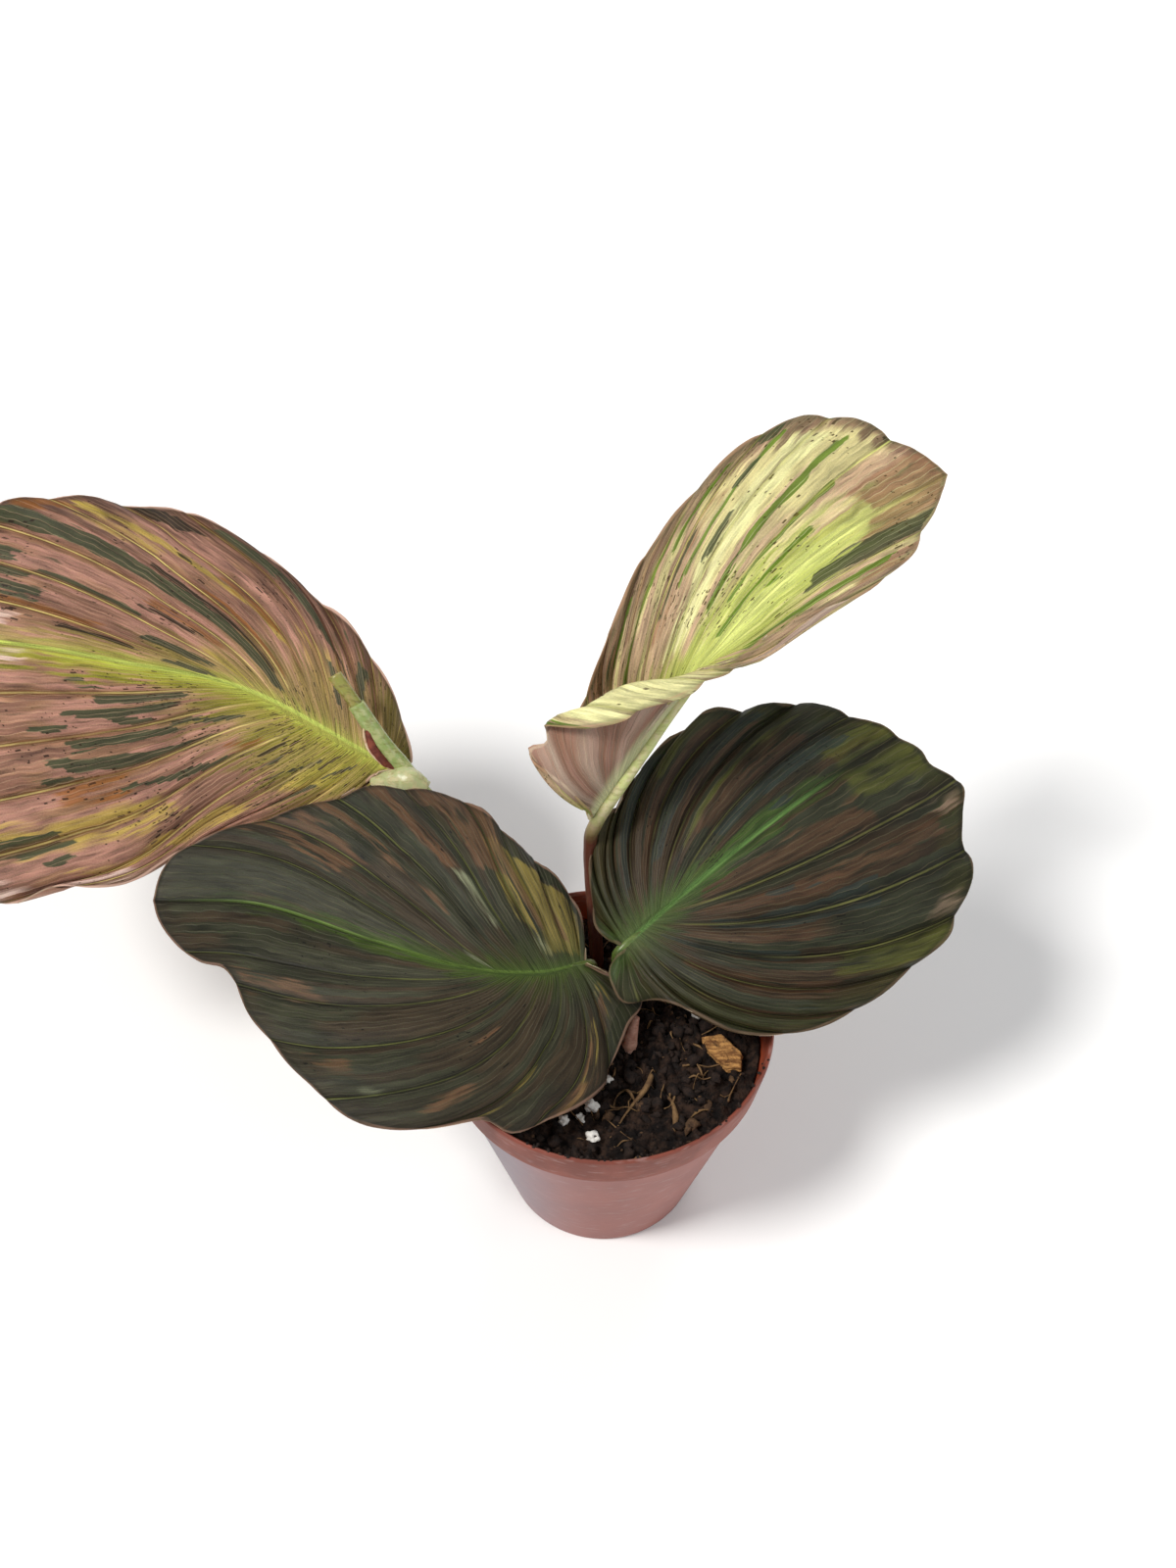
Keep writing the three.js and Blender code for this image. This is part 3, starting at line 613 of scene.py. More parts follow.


# Leaf markings. Patches are listed on each half's own fan of veins, as the photograph shows them,
# all in percent: (vein at the start, vein at the end, half width, reach at the start, reach at the end,
# strength). Veins count from the leaf's base to its tip, reach from the midrib to the margin.
COPPER_PATCHES = dict(
    dark=dict(
        right=[
            (67.5, 70.5, 2.2, 4, 102, 100), (38.5, 45, 2.6, 40, 92, 90), (42, 42, 1.8, 10, 32, 100),
            (27, 22, 2, 30, 70, 90), (79, 79, 2, 72, 88, 80), (83, 83.5, 1.4, 60, 74, 90),
            (81, 81, 1.2, 34, 68, 90), (87.5, 87, 2, 50, 72, 80), (85.5, 87, 2, 8, 30, 100),
            (92, 92, 3, 2, 16, 90),
        ],
        left=[
            (89.3, 89.5, 1.7, 15, 37, 100), (85.5, 86, 1.2, 20, 45, 100), (76, 85, 1.2, 10, 38, 90),
            (83.5, 83.5, 1.2, 44, 54, 90), (78.5, 80, 1.5, 23, 50, 100), (72, 76.5, 1.7, 19, 56, 100),
            (62, 70, 0.9, 15, 50, 100), (73.5, 74, 1.2, 50, 64, 80), (63.5, 64, 2.2, 67, 86, 100),
            (59.5, 60, 1, 70, 80, 90), (33, 37.5, 1.8, 25, 64, 100), (43, 50, 1.3, 8, 24, 100),
            (30, 34, 2, 8, 22, 80),
        ],
    ),
    black=dict(
        right=[
            (76.5, 77.5, 0.9, 22, 42, 100), (53, 53.5, 3, 88, 102, 100), (50.5, 50, 2.2, 80, 97, 100),
            (92.5, 93, 0.8, 20, 44, 100), (65.5, 66.5, 0.8, 12, 60, 90), (59, 59, 0.8, 56, 66, 100),
            (33, 36, 0.8, 30, 50, 90),
        ],
        left=[(60, 60, 0.8, 8, 20, 90), (40, 42, 1, 5, 16, 100), (70, 68, 0.8, 6, 16, 80)],
    ),
    rust=dict(
        right=[
            (90, 90.5, 1.4, 34, 80, 100), (67, 67, 5, 90, 102, 100), (62, 64, 1.6, 10, 50, 80),
            (75, 75, 2, 15, 45, 70), (56, 57, 2, 30, 55, 80),
        ],
        left=[(30, 30, 6, 68, 90, 80), (70, 70, 3.5, 42, 62, 70), (64, 66, 3, 10, 22, 80)],
    ),
    light=dict(
        right=[
            (56, 62, 1.4, 25, 97, 100), (62, 63, 4, 62, 92, 55), (43, 43, 10, 4, 40, 35),
            (80, 79, 2, 2, 20, 80),
        ],
        left=[
            (46, 48, 6, 38, 70, 95), (62, 65.5, 4.5, 42, 85, 70), (36, 36, 12, 5, 30, 80),
            (55, 55, 3, 50, 80, 50),
        ],
    ),
    # The pale patches of this leaf are partly painted light: a pinkish-cream edge made brighter at the left
    # margin and the tip, where light falls most.
    pale=dict(
        right=[(95.5, 96, 3.5, 50, 102, 80)],
        left=[(60, 60, 10, 86, 102, 60), (45, 45, 10, 80, 102, 60), (97.5, 98, 2, 45, 102, 60)],
    ),
)
DARK_PATCHES = dict(
    light=dict(
        right=[(25, 26, 20, 8, 80, 100), (44, 42, 5, 20, 80, 80)],
        left=[(20, 22, 5, 30, 80, 30), (44, 40, 2, 50, 102, 40), (30, 30, 2, 40, 102, 35)],
    ),
    rust=dict(
        right=[
            (47, 47, 10, 50, 102, 100), (38, 40, 3, 20, 98, 90), (22, 24, 3, 20, 70, 80),
            (80, 76, 6, 60, 102, 80), (60, 61, 2, 50, 102, 90), (71, 70, 1.5, 30, 102, 70),
        ],
        left=[
            (20, 23, 3, 40, 72, 90), (62, 62, 3, 74, 97, 60), (52, 50, 3, 58, 82, 55),
            (60, 59, 1.5, 26, 40, 60), (31, 31, 1.4, 52, 76, 70), (30, 33, 5, 78, 102, 55),
            (80, 80, 5, 60, 98, 45),
        ],
    ),
    dark=dict(
        right=[(12, 18, 12, 78, 102, 100), (55, 55, 3, 10, 90, 80), (65, 66, 3, 20, 102, 80)],
        left=[(14, 16, 10, 72, 102, 90)],
    ),
    pale=dict(
        right=[(58, 58, 3, 20, 52, 80), (78, 80, 2, 0, 13, 100), (42, 42, 6, 8, 20, 60)],
        left=[(57, 57, 2, 76, 88, 70)],
    ),
)
SLATE_PATCHES = dict(
    rust=dict(
        right=[
            (93, 92, 3.5, 12, 75, 100), (83, 84, 2, 55, 95, 100), (84, 83, 3, 10, 60, 80),
            (72, 72, 2.2, 8, 50, 90), (55, 56, 3.5, 15, 75, 90), (44, 45, 2.5, 30, 100, 70),
        ],
        left=[
            (64, 66, 3.2, 8, 97, 100), (86, 87, 3, 30, 85, 90), (76, 75, 2, 35, 90, 70),
            (45, 46, 2, 30, 90, 60),
        ],
    ),
    light=dict(
        right=[(63, 63, 6, 60, 102, 80), (97, 96, 4, 72, 102, 90)],
        left=[
            (62, 60, 2.5, 58, 88, 90), (95, 96, 5, 74, 102, 90), (70, 70, 1.2, 20, 100, 70),
            (82, 82, 1, 20, 95, 60),
        ],
    ),
    dark=dict(
        right=[(77, 78, 3, 15, 70, 90), (66, 67, 2, 5, 50, 80)],
        left=[(70, 72, 3, 20, 95, 90), (52, 53, 3, 15, 90, 70), (91, 92, 3, 30, 90, 70)],
    ),
    pale=dict(
        right=[(86, 86, 3, 88, 102, 60), (70, 70, 3, 86, 102, 60)],
    ),
)
LIME_PATCHES = dict(
    dark=dict(
        right=[
            (86, 86, 1.5, 30, 90, 60), (23.5, 25, 3.5, 84, 102, 100), (40, 40, 12, 60, 68, 80),
            (47, 50, 2, 20, 60, 80),
        ],
        left=[
            (53, 58.5, 1.2, 30, 86, 100), (84.5, 83, 1, 30, 92, 90), (44, 47, 0.9, 45, 80, 80),
            (62, 64, 1.2, 64, 95, 80), (72, 72, 0.8, 45, 95, 80), (90, 89, 0.8, 30, 80, 80),
            (95, 94, 0.8, 20, 60, 80),
        ],
    ),
    black=dict(
        right=[(93, 91.5, 3, 50, 100, 100), (60, 50, 2, 80, 100, 80)],
        left=[
            (69, 69, 3, 90, 102, 100), (72, 72, 1, 72, 86, 100), (76, 76, 0.8, 50, 66, 100),
            (40, 40, 0.8, 50, 75, 80), (35, 36, 1, 50, 90, 90), (68, 68, 0.6, 40, 70, 80),
        ],
    ),
    rust=dict(
        right=[(97.5, 97.5, 5, 66, 102, 100), (84, 84, 3, 75, 102, 70), (17, 17, 3, 90, 102, 100)],
        left=[
            (97.5, 97.5, 6, 70, 102, 100), (40, 42, 6, 35, 102, 70), (68, 69, 3, 30, 80, 60),
            (50, 52, 2, 50, 95, 60), (30, 32, 10, 40, 102, 80),
        ],
    ),
    light=dict(
        right=[(55, 60, 10, 40, 90, 50), (38, 38, 13, 50, 102, 100)],
        left=[(78, 78, 4, 20, 95, 80)],
    ),
)


PATCH_KINDS = ("dark", "light", "rust", "black", "pale")
PATCH_SIDE_RISE = 1.7
PATCH_END_FADE = 0.05


def patch_field(patches, hands, vein, reach):
    """How strongly one kind of patch covers each point of a leaf."""
    field = np.zeros_like(vein)
    for hand, spots in patches.items():
        for spot in spots:
            first, last, half, start, end, strength = np.array(spot) / 100
            centre = first + (last - first) * np.clip((reach - start) / (end - start), 0, 1)
            beside = 1 - np.abs(vein - centre) / half
            ahead = np.minimum(reach - start, end - reach) / PATCH_END_FADE
            value = strength * np.clip(np.minimum(beside * PATCH_SIDE_RISE, ahead), 0, 1)
            field = np.maximum(field, np.where(hands == hand, value, 0))
    return field


def leaf_grid(form, rows, columns):
    """Points of the leaf's middle surface with their marks, its quads and the loop of its edge."""
    reach, vein = np.meshgrid(np.linspace(0, 1, rows + 1), np.linspace(0, 1, columns + 1), indexing="ij")
    count = reach.size
    index = {"right": np.arange(count).reshape(reach.shape)}
    left = np.full(reach.shape, -1)
    left[0] = index["right"][0]
    left[:, -1] = index["right"][:, -1]
    left[1:, :-1] = count + np.arange(rows * columns).reshape(rows, columns)
    index["left"] = left
    total = count + rows * columns
    fields = {key: np.zeros(total) for key in ("reach", "vein", "along", "across", "pitch", "run", "rim")}
    points = np.zeros((total, 3))
    quads = []
    for hand in ("left", "right"):
        along, across = form.flat(reach, vein, hand)
        placed = form.place(along, across, hand)
        sideways = np.gradient(placed, axis=1) * columns / form.leaf.pleats
        forward = np.linalg.norm(np.diff(placed, axis=0), axis=2)
        edge = form.margins[hand].samples[:, :2]
        flat = np.stack([along.ravel(), across.ravel()], 1)
        rim = np.min(np.linalg.norm(flat[:, None] - edge[None], axis=2), axis=1).reshape(along.shape)
        at = index[hand]
        points[at] = placed
        fields["reach"][at] = reach
        fields["vein"][at] = vein
        fields["along"][at] = along
        fields["across"][at] = across if hand == "right" else -across
        fields["pitch"][at] = np.linalg.norm(sideways, axis=2)
        fields["run"][at] = np.vstack([np.zeros(columns + 1), np.cumsum(forward, axis=0)])
        fields["rim"][at] = rim
        a, b, c, d = at[:-1, :-1], at[1:, :-1], at[1:, 1:], at[:-1, 1:]
        order = (a, b, c, d) if hand == "right" else (d, c, b, a)
        quads.append(np.stack([corner.ravel() for corner in order], 1))
    right, left = index["right"], index["left"]
    loop = [*right[:, 0], *right[-1, 1:], *left[-1, -2::-1], *left[-2:0:-1, 0]]
    return points, fields, np.vstack(quads), np.array(loop)


def blade(name, leaf, patches, looks, slot, node):
    """A thin closed leaf with a rounded edge: its upper face, its underside and its markings."""
    form = LeafForm(leaf)
    points, fields, quads, loop = leaf_grid(form, BLADE_ROWS, COLUMNS_PER_PLEAT * leaf.pleats)
    reach, vein = fields["reach"], fields["vein"]
    on_right = fields["across"] >= 0
    spots = zip(vein * RUFFLES_ALONG, reach * RUFFLES_OUTWARD, np.where(on_right, 0.0, 3.0))
    ruffle = RUFFLE * np.array([noise.noise(spot) for spot in spots]) * smooth(reach, 0.75, 1)
    ribs = np.sin(2 * RIBS_PER_PLEAT * math.pi * leaf.pleats * vein)
    ribs = RIB_HEIGHT * ribs * smooth(reach, 0.05, 0.3)
    points = points + vertex_normals(points, quads) * (form.relief(reach, vein) + ruffle + ribs)[:, None]
    normals = vertex_normals(points, quads)
    half = mix(BLADE_THICKNESS, EDGE_THICKNESS, reach)[:, None] / 2
    way = points[np.roll(loop, -1)] - points[np.roll(loop, 1)]
    outward = unit(np.cross(way, normals[loop]) + 1e-9)
    middle = points[loop] + outward * half[loop] * EDGE_BULGE
    count = len(points)
    here, there = loop, np.roll(loop, -1)
    rim_here = 2 * count + np.arange(len(loop))
    rim_there = np.roll(rim_here, -1)
    upper_rim = np.stack([there, here, rim_here, rim_there], 1)
    lower_rim = np.stack([here + count, there + count, rim_there, rim_here], 1)
    faces = np.vstack([quads, quads[:, ::-1] + count, upper_rim, lower_rim])
    stack = np.vstack([points + normals * half, points - normals * half, middle])
    piece = add_piece(name, (stack, faces), looks, slot, node)
    below = np.zeros(len(faces), int)
    below[len(quads) : 2 * len(quads)] = 1
    below[-len(loop) :] = 1
    piece.data.polygons.foreach_set("material_index", below)

    def carry(name, values, at_rim=None):
        """Stores three values a point, for both faces and for the edge between them."""
        values = np.stack(values, 1)
        edge = values[loop] if at_rim is None else values[loop] * at_rim
        layer = piece.data.attributes.new(name, "FLOAT_VECTOR", "POINT")
        layer.data.foreach_set("vector", np.vstack([values, values, edge]).astype(np.float32).ravel())

    steps = vein * leaf.pleats
    gap = np.abs(steps - np.round(steps)) * fields["pitch"]
    carry("flow", [steps, fields["run"], np.where(on_right, 0.0, LEFT_SHIFT)])
    carry("plan", [fields["along"], fields["across"], vein])
    carry("marks", [gap, fields["rim"], fields["pitch"]], at_rim=(1, 0, 1))
    hands = np.where(on_right, "right", "left")
    kinds = [patch_field(patches.get(kind, {}), hands, vein, reach) for kind in PATCH_KINDS]
    carry("tone", kinds[:3])
    carry("spot", [*kinds[3:], np.zeros(count)])


def tube_rings(path, radii, sides, steps_per_span, wobble, seed=0):
    """Rings of points round a smooth line, with a radius for each of its given points."""
    line = Line(path)
    steps = np.linspace(0, line.spans, line.spans * steps_per_span + 1)
    centres, ways = line.at_step(steps)
    widths = np.interp(steps, np.arange(len(radii)), radii)
    normal = np.array([0.3, 0.95, 0.1])
    rings = []
    for step, (centre, way, width) in enumerate(zip(centres, ways, widths)):
        normal = unit(normal - way * np.dot(normal, way))
        across = np.cross(way, normal)
        angles = turns(sides)
        spots = [(3 * math.cos(angle), 3 * math.sin(angle), step * 0.35 + seed) for angle in angles]
        uneven = [1 + wobble * noise.noise(spot) for spot in spots]
        ring = np.outer(np.cos(angles), normal) + np.outer(np.sin(angles), across)
        rings.append(centre + ring * (width * np.array(uneven))[:, None])
    return np.array(rings)


def skin(rings, ends="capped", tips=(None, None)):
    """Points and faces of a surface through rings of points. Its ends are capped, open or joined to each
    other, and an end that has a tip runs together there."""
    rings = np.asarray(rings, float)
    count, sides = rings.shape[:2]
    points = list(rings.reshape(-1, 3))
    marks = np.arange(count * sides).reshape(count, sides)
    pairs = list(zip(marks, marks[1:])) + ([(marks[-1], marks[0])] if ends == "joined" else [])
    faces = [face for low, high in pairs for face in zip(low, np.roll(low, -1), np.roll(high, -1), high)]
    for edge, tip in zip((marks[0][::-1], marks[-1]), tips):
        if tip is not None:
            faces += [(a, b, len(points)) for a, b in zip(edge, np.roll(edge, -1))]
            points.append(tip)
        elif ends == "capped":
            faces.append(tuple(edge))
    return np.array(points), faces


def tube(path, radii, sides, steps=8, wobble=0.0, seed=0):
    return skin(tube_rings(path, radii, sides, steps, wobble, seed))


def joined(parts):
    """Several (points, faces) as one."""
    points, faces, start = [], [], 0
    for part_points, part_faces in parts:
        points.append(np.asarray(part_points, float))
        faces.extend([tuple(corner + start for corner in face) for face in part_faces])
        start += len(part_points)
    return np.vstack(points), faces


def stalk_and_keel(leaf):
    """The stalk that runs on as a keel under the midrib."""
    form = LeafForm(leaf)
    path, radii = list(leaf.stalk), list(leaf.stalk_radii)
    for step in range(KEEL_STEPS + 1):
        share = step / KEEL_STEPS
        along = np.array(KEEL_REACH * form.spine.length * share)
        radius = mix(leaf.keel, KEEL_TIP, share**0.7)
        sink = leaf.keel_sink if step else KEEL_FOOT_SINK
        path.append(tuple(form.spine.at(along) - form.frame_at(along)[1] * radius * sink))
        radii.append(radius)
    return tube(path, [radius - STALK_TRIM for radius in radii], sides=24, wobble=0.05)


# Materials of the leaves. Streaks follow the fine veins: each cell between two of them has its own
# light and dark stretches, so a patch ends in staggered bars as on the real blade.
def leaf_upper(name, look):
    s = Look(name, Specular_IOR_Level=0.16, Subsurface_Weight=0.05, Subsurface_Scale=0.0015)
    s.put((0.6, 0.9, 0.2), s.shader.inputs["Subsurface Radius"])
    flow, v, side = s.marks("flow")
    along, across, vein = s.marks("plan")
    gap, rim, pitch = s.marks("marks")
    dark, light, rust = s.marks("tone")
    black, pale, _ = s.marks("spot")
    beside = abs(across)
    grain = s.noise(s.vector(along, across), 2.4, 4.0, 0.65)
    u = flow + (s.noise(s.vector(along, across, 7.0), 0.16, 2.0) - 0.5) * 0.12
    broad = s.noise(s.vector(u * 0.7, v * 0.018, side), 1.0, 1.0)
    wide = s.streak(u, v, side, 5, 45.0, 1.0)
    bars = s.streak(u, v, side, 11, 12.0, 2.0)
    thin = s.streak(u, v, side, 22, 7.0, 3.0)
    hair = s.noise(s.vector(u * 20.0, v * 0.12, side), 1.0, 3.0, 0.6)
    ragged = (bars - 0.5) * 1.5 + (thin - 0.5) * 0.5

    def halves(right, left):
        return right + side * ((left - right) / LEFT_SHIFT)

    def patch(field, low=0.36, soft=0.1, spread=1.0):
        mask = s.step(field + ragged * spread, low, low + soft)
        return mask * s.step(field, 0.0, 0.12)

    s.paint(s.mix(look.ground, look.ground_2, s.step(wide + (broad - 0.5) * 0.8, 0.42, 0.6)))
    s.paint(look.band, s.step(broad + (wide - 0.5) * 0.7, 0.52, 0.62) * look.band_share)
    border = s.fall(rim + ragged * 5.0, look.border_width * 0.35, look.border_width)
    s.paint(look.border, border * halves(*look.border_share))
    s.paint(look.light, patch(light, 0.2, 0.6) * look.light_share)
    width = s.step(along, 0.0, look.glow_length, "LINEAR")
    width = look.glow_width + width * (look.glow_end - look.glow_width)
    glow = (beside + (bars - 0.5) * (look.glow_width * 1.1)) / width
    glow = s.fall(glow, 0.45, 1.0) * s.fall(along, look.glow_length * 0.6, look.glow_length)
    rays = s.fall(v + ragged * (look.ray_length * 0.7), look.ray_length * 0.3, look.ray_length)
    glow = s.most(glow, rays * look.ray_share)
    s.paint(look.glow, glow * halves(*look.glow_share))
    core = beside / width + (thin - 0.5) * 0.7
    core = s.fall(core, 0.05, 0.42) * s.fall(along, look.glow_length * 0.5, look.glow_length)
    s.paint(look.core, core * halves(*look.glow_share))
    s.paint(look.rust, patch(rust, 0.25, 0.5) * look.rust_share)
    s.paint(look.pale, patch(pale, 0.2, 0.9, 1.3) * 0.75)
    blot = s.noise(s.vector(u * 1.9, v * 0.035, side + 21.0), 1.0, 1.0)
    blot = s.step(blot + ragged * 0.2, look.blot_from, look.blot_from + 0.04)
    s.paint(look.dark, s.most(blot, patch(dark, 0.34)) * look.dark_share)
    s.paint(look.black, patch(black, 0.34) * 0.9)
    crowd = s.noise(s.vector(along, across, 3.0), 0.045, 2.0)
    dash = s.most(s.streak(u, v, side, 34, 1.4, 5.0), s.streak(u, v, side, 24, 3.4, 8.0))
    dash = s.step(dash + (crowd - 0.5) * 0.6, look.dash_from, look.dash_from + 0.03)
    s.paint(look.dash, dash * 0.9)
    lit_veins = s.streak(s.math("ROUND", u), v, side, 1, 40.0, 6.0)
    line = s.fall(gap, 0.1, look.vein_width) * s.step(v, 2.0, 16.0)
    line = line * s.step(vein, 0.01, 0.04) * s.fall(vein, 0.88, 0.97)
    line = line * s.step(look.vein_share + (lit_veins - 0.5) * 1.6, 0.0, 1.0, "LINEAR")
    # Painted shade: the pleat valleys along the main veins are painted darker, as shade falls in them.
    valley = s.fall(gap, 0.2, pitch * look.valley_width) * s.step(v, 6.0, 30.0)
    s.paint(look.valley, valley * look.valley_share)
    s.paint(look.vein, line)
    fine = abs(s.math("FRACT", u * 8.0) - 0.5)
    fine = s.fall(fine * pitch / 8, 0.04, 0.2)
    s.paint(look.fine, fine * look.fine_share)
    middle = s.fall(beside, 0.3, look.midrib_width)
    middle = middle * s.fall(along, look.midrib_length * 0.7, look.midrib_length)
    s.paint(look.midrib, middle * look.midrib_share)
    tint = (thin + bars + hair + grain - 2.0) * look.contrast
    s.paint(s.shade(s.colour, 1.0 + tint))
    s.paint(look.black, s.fall(rim, 0.6, 1.6) * 0.35)
    s.paint(look.edge, s.fall(rim, 0.15, 0.5) * look.edge_share)
    height = hair * 0.14 + grain * 0.06 + fine * 0.05 + thin * 0.05 - s.fall(gap, 0.0, 0.9) * 0.16
    return s.finish(height, Roughness=look.rough + (grain - 0.5) * 0.25)


def leaf_under(name, look):
    """The underside: broad paler ribs on a dusty ground."""
    s = Look(name, Roughness=0.6, Specular_IOR_Level=0.16, Subsurface_Weight=0.06, Subsurface_Scale=0.002)
    flow, v, side = s.marks("flow")
    along, across, _ = s.marks("plan")
    _, rim, pitch = s.marks("marks")
    beside = abs(across)
    grain = s.noise(s.vector(along, across), 3.0, 4.0, 0.65)
    u = flow + (s.noise(s.vector(along, across, 7.0), 0.06, 2.0) - 0.5) * 0.5
    wide = s.streak(u, v, side, 5, 30.0, 1.0)
    thin = s.streak(u, v, side, 26, 14.0, 2.0)
    hair = s.noise(s.vector(u * 18.0, v * 0.12, side), 1.0, 3.0, 0.6)
    s.paint(s.mix(look.ground, look.ground_2, s.step(wide, 0.4, 0.6)))
    middle = abs(s.math("FRACT", u + 0.5) - 0.5)
    rib = s.fall(middle + (thin - 0.5) * 0.3, 0.0, 0.42)
    strength = s.step(s.noise(s.vector(u * 0.6, v * 0.03, side), 1.0, 2.0), 0.3, 0.65)
    s.paint(look.rib, rib * (look.rib_share * (0.3 + strength * 0.7)))
    fine = abs(s.math("FRACT", u * 8.0) - 0.5)
    fine = s.fall(fine * pitch / 8, 0.04, 0.2)
    s.paint(look.edge, fine * 0.22)
    keel = s.fall(beside + (hair - 0.5) * 3.0, 2.0, look.keel_width)
    s.paint(look.keel, keel)
    s.paint(s.shade(s.colour, 1.0 + (thin + hair + grain - 1.5) * 0.6))
    s.paint(look.edge, s.fall(rim, 0.2, 0.6) * 0.6)
    return s.finish(hair * 0.14 + grain * 0.06 + (rib + fine) * 0.15)


COPPER = SimpleNamespace(
    ground=srgb(160, 116, 100), ground_2=srgb(140, 104, 78), band=srgb(120, 84, 72), band_share=0.75,
    border=srgb(90, 62, 50), border_width=10.0, border_share=(0.8, 0.1),
    light=srgb(162, 140, 62), light_share=0.8, rust=srgb(122, 74, 28), rust_share=0.8,
    pale=srgb(206, 182, 170),
    glow=srgb(142, 142, 34), glow_width=10.5, glow_end=5.0, glow_length=170.0, glow_share=(0.45, 0.85),
    core=srgb(186, 196, 78), ray_length=34.0, ray_share=0.75,
    dark=srgb(60, 64, 44), dark_share=0.95, blot_from=0.73,
    black=srgb(34, 28, 16), dash=srgb(40, 26, 16), dash_from=0.8,
    vein=srgb(212, 192, 118), vein_width=0.55, vein_share=0.6, valley=srgb(92, 56, 22), valley_width=0.15,
    valley_share=0.75, fine=srgb(196, 164, 132), fine_share=0.26, contrast=0.95,
    midrib=srgb(190, 204, 96), midrib_width=0.9, midrib_length=179.0, midrib_share=0.8,
    edge=srgb(206, 168, 150), edge_share=0.85, rough=0.52,
)
DARK = SimpleNamespace(
    ground=srgb(52, 52, 38), ground_2=srgb(38, 39, 27), band=srgb(60, 47, 34), band_share=0.65,
    border=srgb(50, 42, 32), border_width=6.0, border_share=(0.4, 0.6),
    light=srgb(120, 106, 52), light_share=0.85, rust=srgb(92, 66, 46), rust_share=0.75,
    pale=srgb(120, 124, 98),
    glow=srgb(58, 78, 18), glow_width=5.5, glow_end=2.0, glow_length=125.0, glow_share=(0.6, 0.75),
    core=srgb(62, 88, 28), ray_length=12.0, ray_share=0.5,
    dark=srgb(34, 38, 22), dark_share=0.8, blot_from=0.74,
    black=srgb(16, 14, 8), dash=srgb(16, 14, 8), dash_from=0.88,
    vein=srgb(94, 98, 48), vein_width=0.5, vein_share=0.5, valley=srgb(22, 20, 12), valley_width=0.15,
    valley_share=0.8, fine=srgb(92, 88, 70), fine_share=0.34, contrast=0.9,
    midrib=srgb(86, 108, 46), midrib_width=0.6, midrib_length=125.0, midrib_share=0.8,
    edge=srgb(150, 116, 98), edge_share=0.5, rough=0.5,
)
SLATE = SimpleNamespace(
    ground=srgb(45, 47, 34), ground_2=srgb(36, 37, 26), band=srgb(56, 41, 28), band_share=0.75,
    border=srgb(52, 52, 22), border_width=8.0, border_share=(0.5, 0.5),
    light=srgb(80, 82, 28), light_share=0.45, rust=srgb(68, 48, 33), rust_share=0.8,
    pale=srgb(120, 100, 84),
    glow=srgb(62, 86, 34), glow_width=7.0, glow_end=2.0, glow_length=92.0, glow_share=(0.6, 0.8),
    core=srgb(68, 98, 44), ray_length=12.0, ray_share=0.5,
    dark=srgb(38, 46, 42), dark_share=0.8, blot_from=0.76,
    black=srgb(14, 12, 6), dash=srgb(14, 12, 6), dash_from=0.88,
    vein=srgb(112, 112, 62), vein_width=0.5, vein_share=0.4, valley=srgb(16, 14, 8), valley_width=0.2,
    valley_share=0.8, fine=srgb(96, 88, 68), fine_share=0.3, contrast=0.9,
    midrib=srgb(88, 122, 62), midrib_width=1.0, midrib_length=80.0, midrib_share=0.75,
    edge=srgb(130, 104, 84), edge_share=0.4, rough=0.46,
)
LIME = SimpleNamespace(
    ground=srgb(204, 192, 136), ground_2=srgb(196, 168, 134), band=srgb(172, 140, 112), band_share=0.6,
    border=srgb(124, 94, 76), border_width=6.0, border_share=(0.3, 0.85),
    light=srgb(208, 206, 148), light_share=0.85, rust=srgb(136, 98, 72), rust_share=0.8,
    pale=srgb(214, 210, 150),
    glow=srgb(172, 186, 76), glow_width=11.0, glow_end=8.0, glow_length=150.0, glow_share=(0.75, 0.75),
    core=srgb(206, 214, 124), ray_length=20.0, ray_share=0.4,
    dark=srgb(82, 112, 18), dark_share=0.9, blot_from=0.78,
    black=srgb(62, 68, 42), dash=srgb(66, 52, 20), dash_from=0.8,
    vein=srgb(212, 216, 124), vein_width=0.5, vein_share=0.4, valley=srgb(118, 112, 40), valley_width=0.1,
    valley_share=0.35, fine=srgb(226, 222, 168), fine_share=0.26, contrast=0.8,
    midrib=srgb(220, 226, 134), midrib_width=1.0, midrib_length=140.0, midrib_share=0.7,
    edge=srgb(180, 142, 112), edge_share=0.6, rough=0.5,
)
UNDER = SimpleNamespace(
    ground=srgb(150, 114, 98), ground_2=srgb(132, 98, 80), rib=srgb(196, 178, 160), rib_share=0.7,
    keel=srgb(206, 206, 160), keel_width=6.0, edge=srgb(206, 186, 160),
)


def stalk_look(name, colour, second, streak, low=None, change=(0.0, 1.0), rough=0.34):
    """A fleshy stalk with fine lines along it. Below the heights in change it has the low colour."""
    s = Look(name, Roughness=rough, Specular_IOR_Level=0.4, Subsurface_Weight=0.1, Subsurface_Scale=0.003)
    place = s.place()
    mottle = s.noise(place, 380.0, 3.0, 0.6)
    lines = s.noise(s.turned(place, (0.5, 0.6, -0.65), (160.0, 900.0, 900.0)), 1.0, 3.0, 0.6)
    s.paint(s.mix(colour, second, s.step(mottle, 0.4, 0.65)))
    s.paint(streak, s.step(lines, 0.5, 0.66) * 0.55)
    if low:
        height = s.split(place)[2] / MM + lines * 6.0
        upper = s.colour
        s.paint(s.shade(low, 0.6 + mottle * 0.8))
        s.paint(upper, s.step(height, change[0] + 3.0, change[1] + 3.0))
    return s.finish(lines * 0.08 + mottle * 0.06)


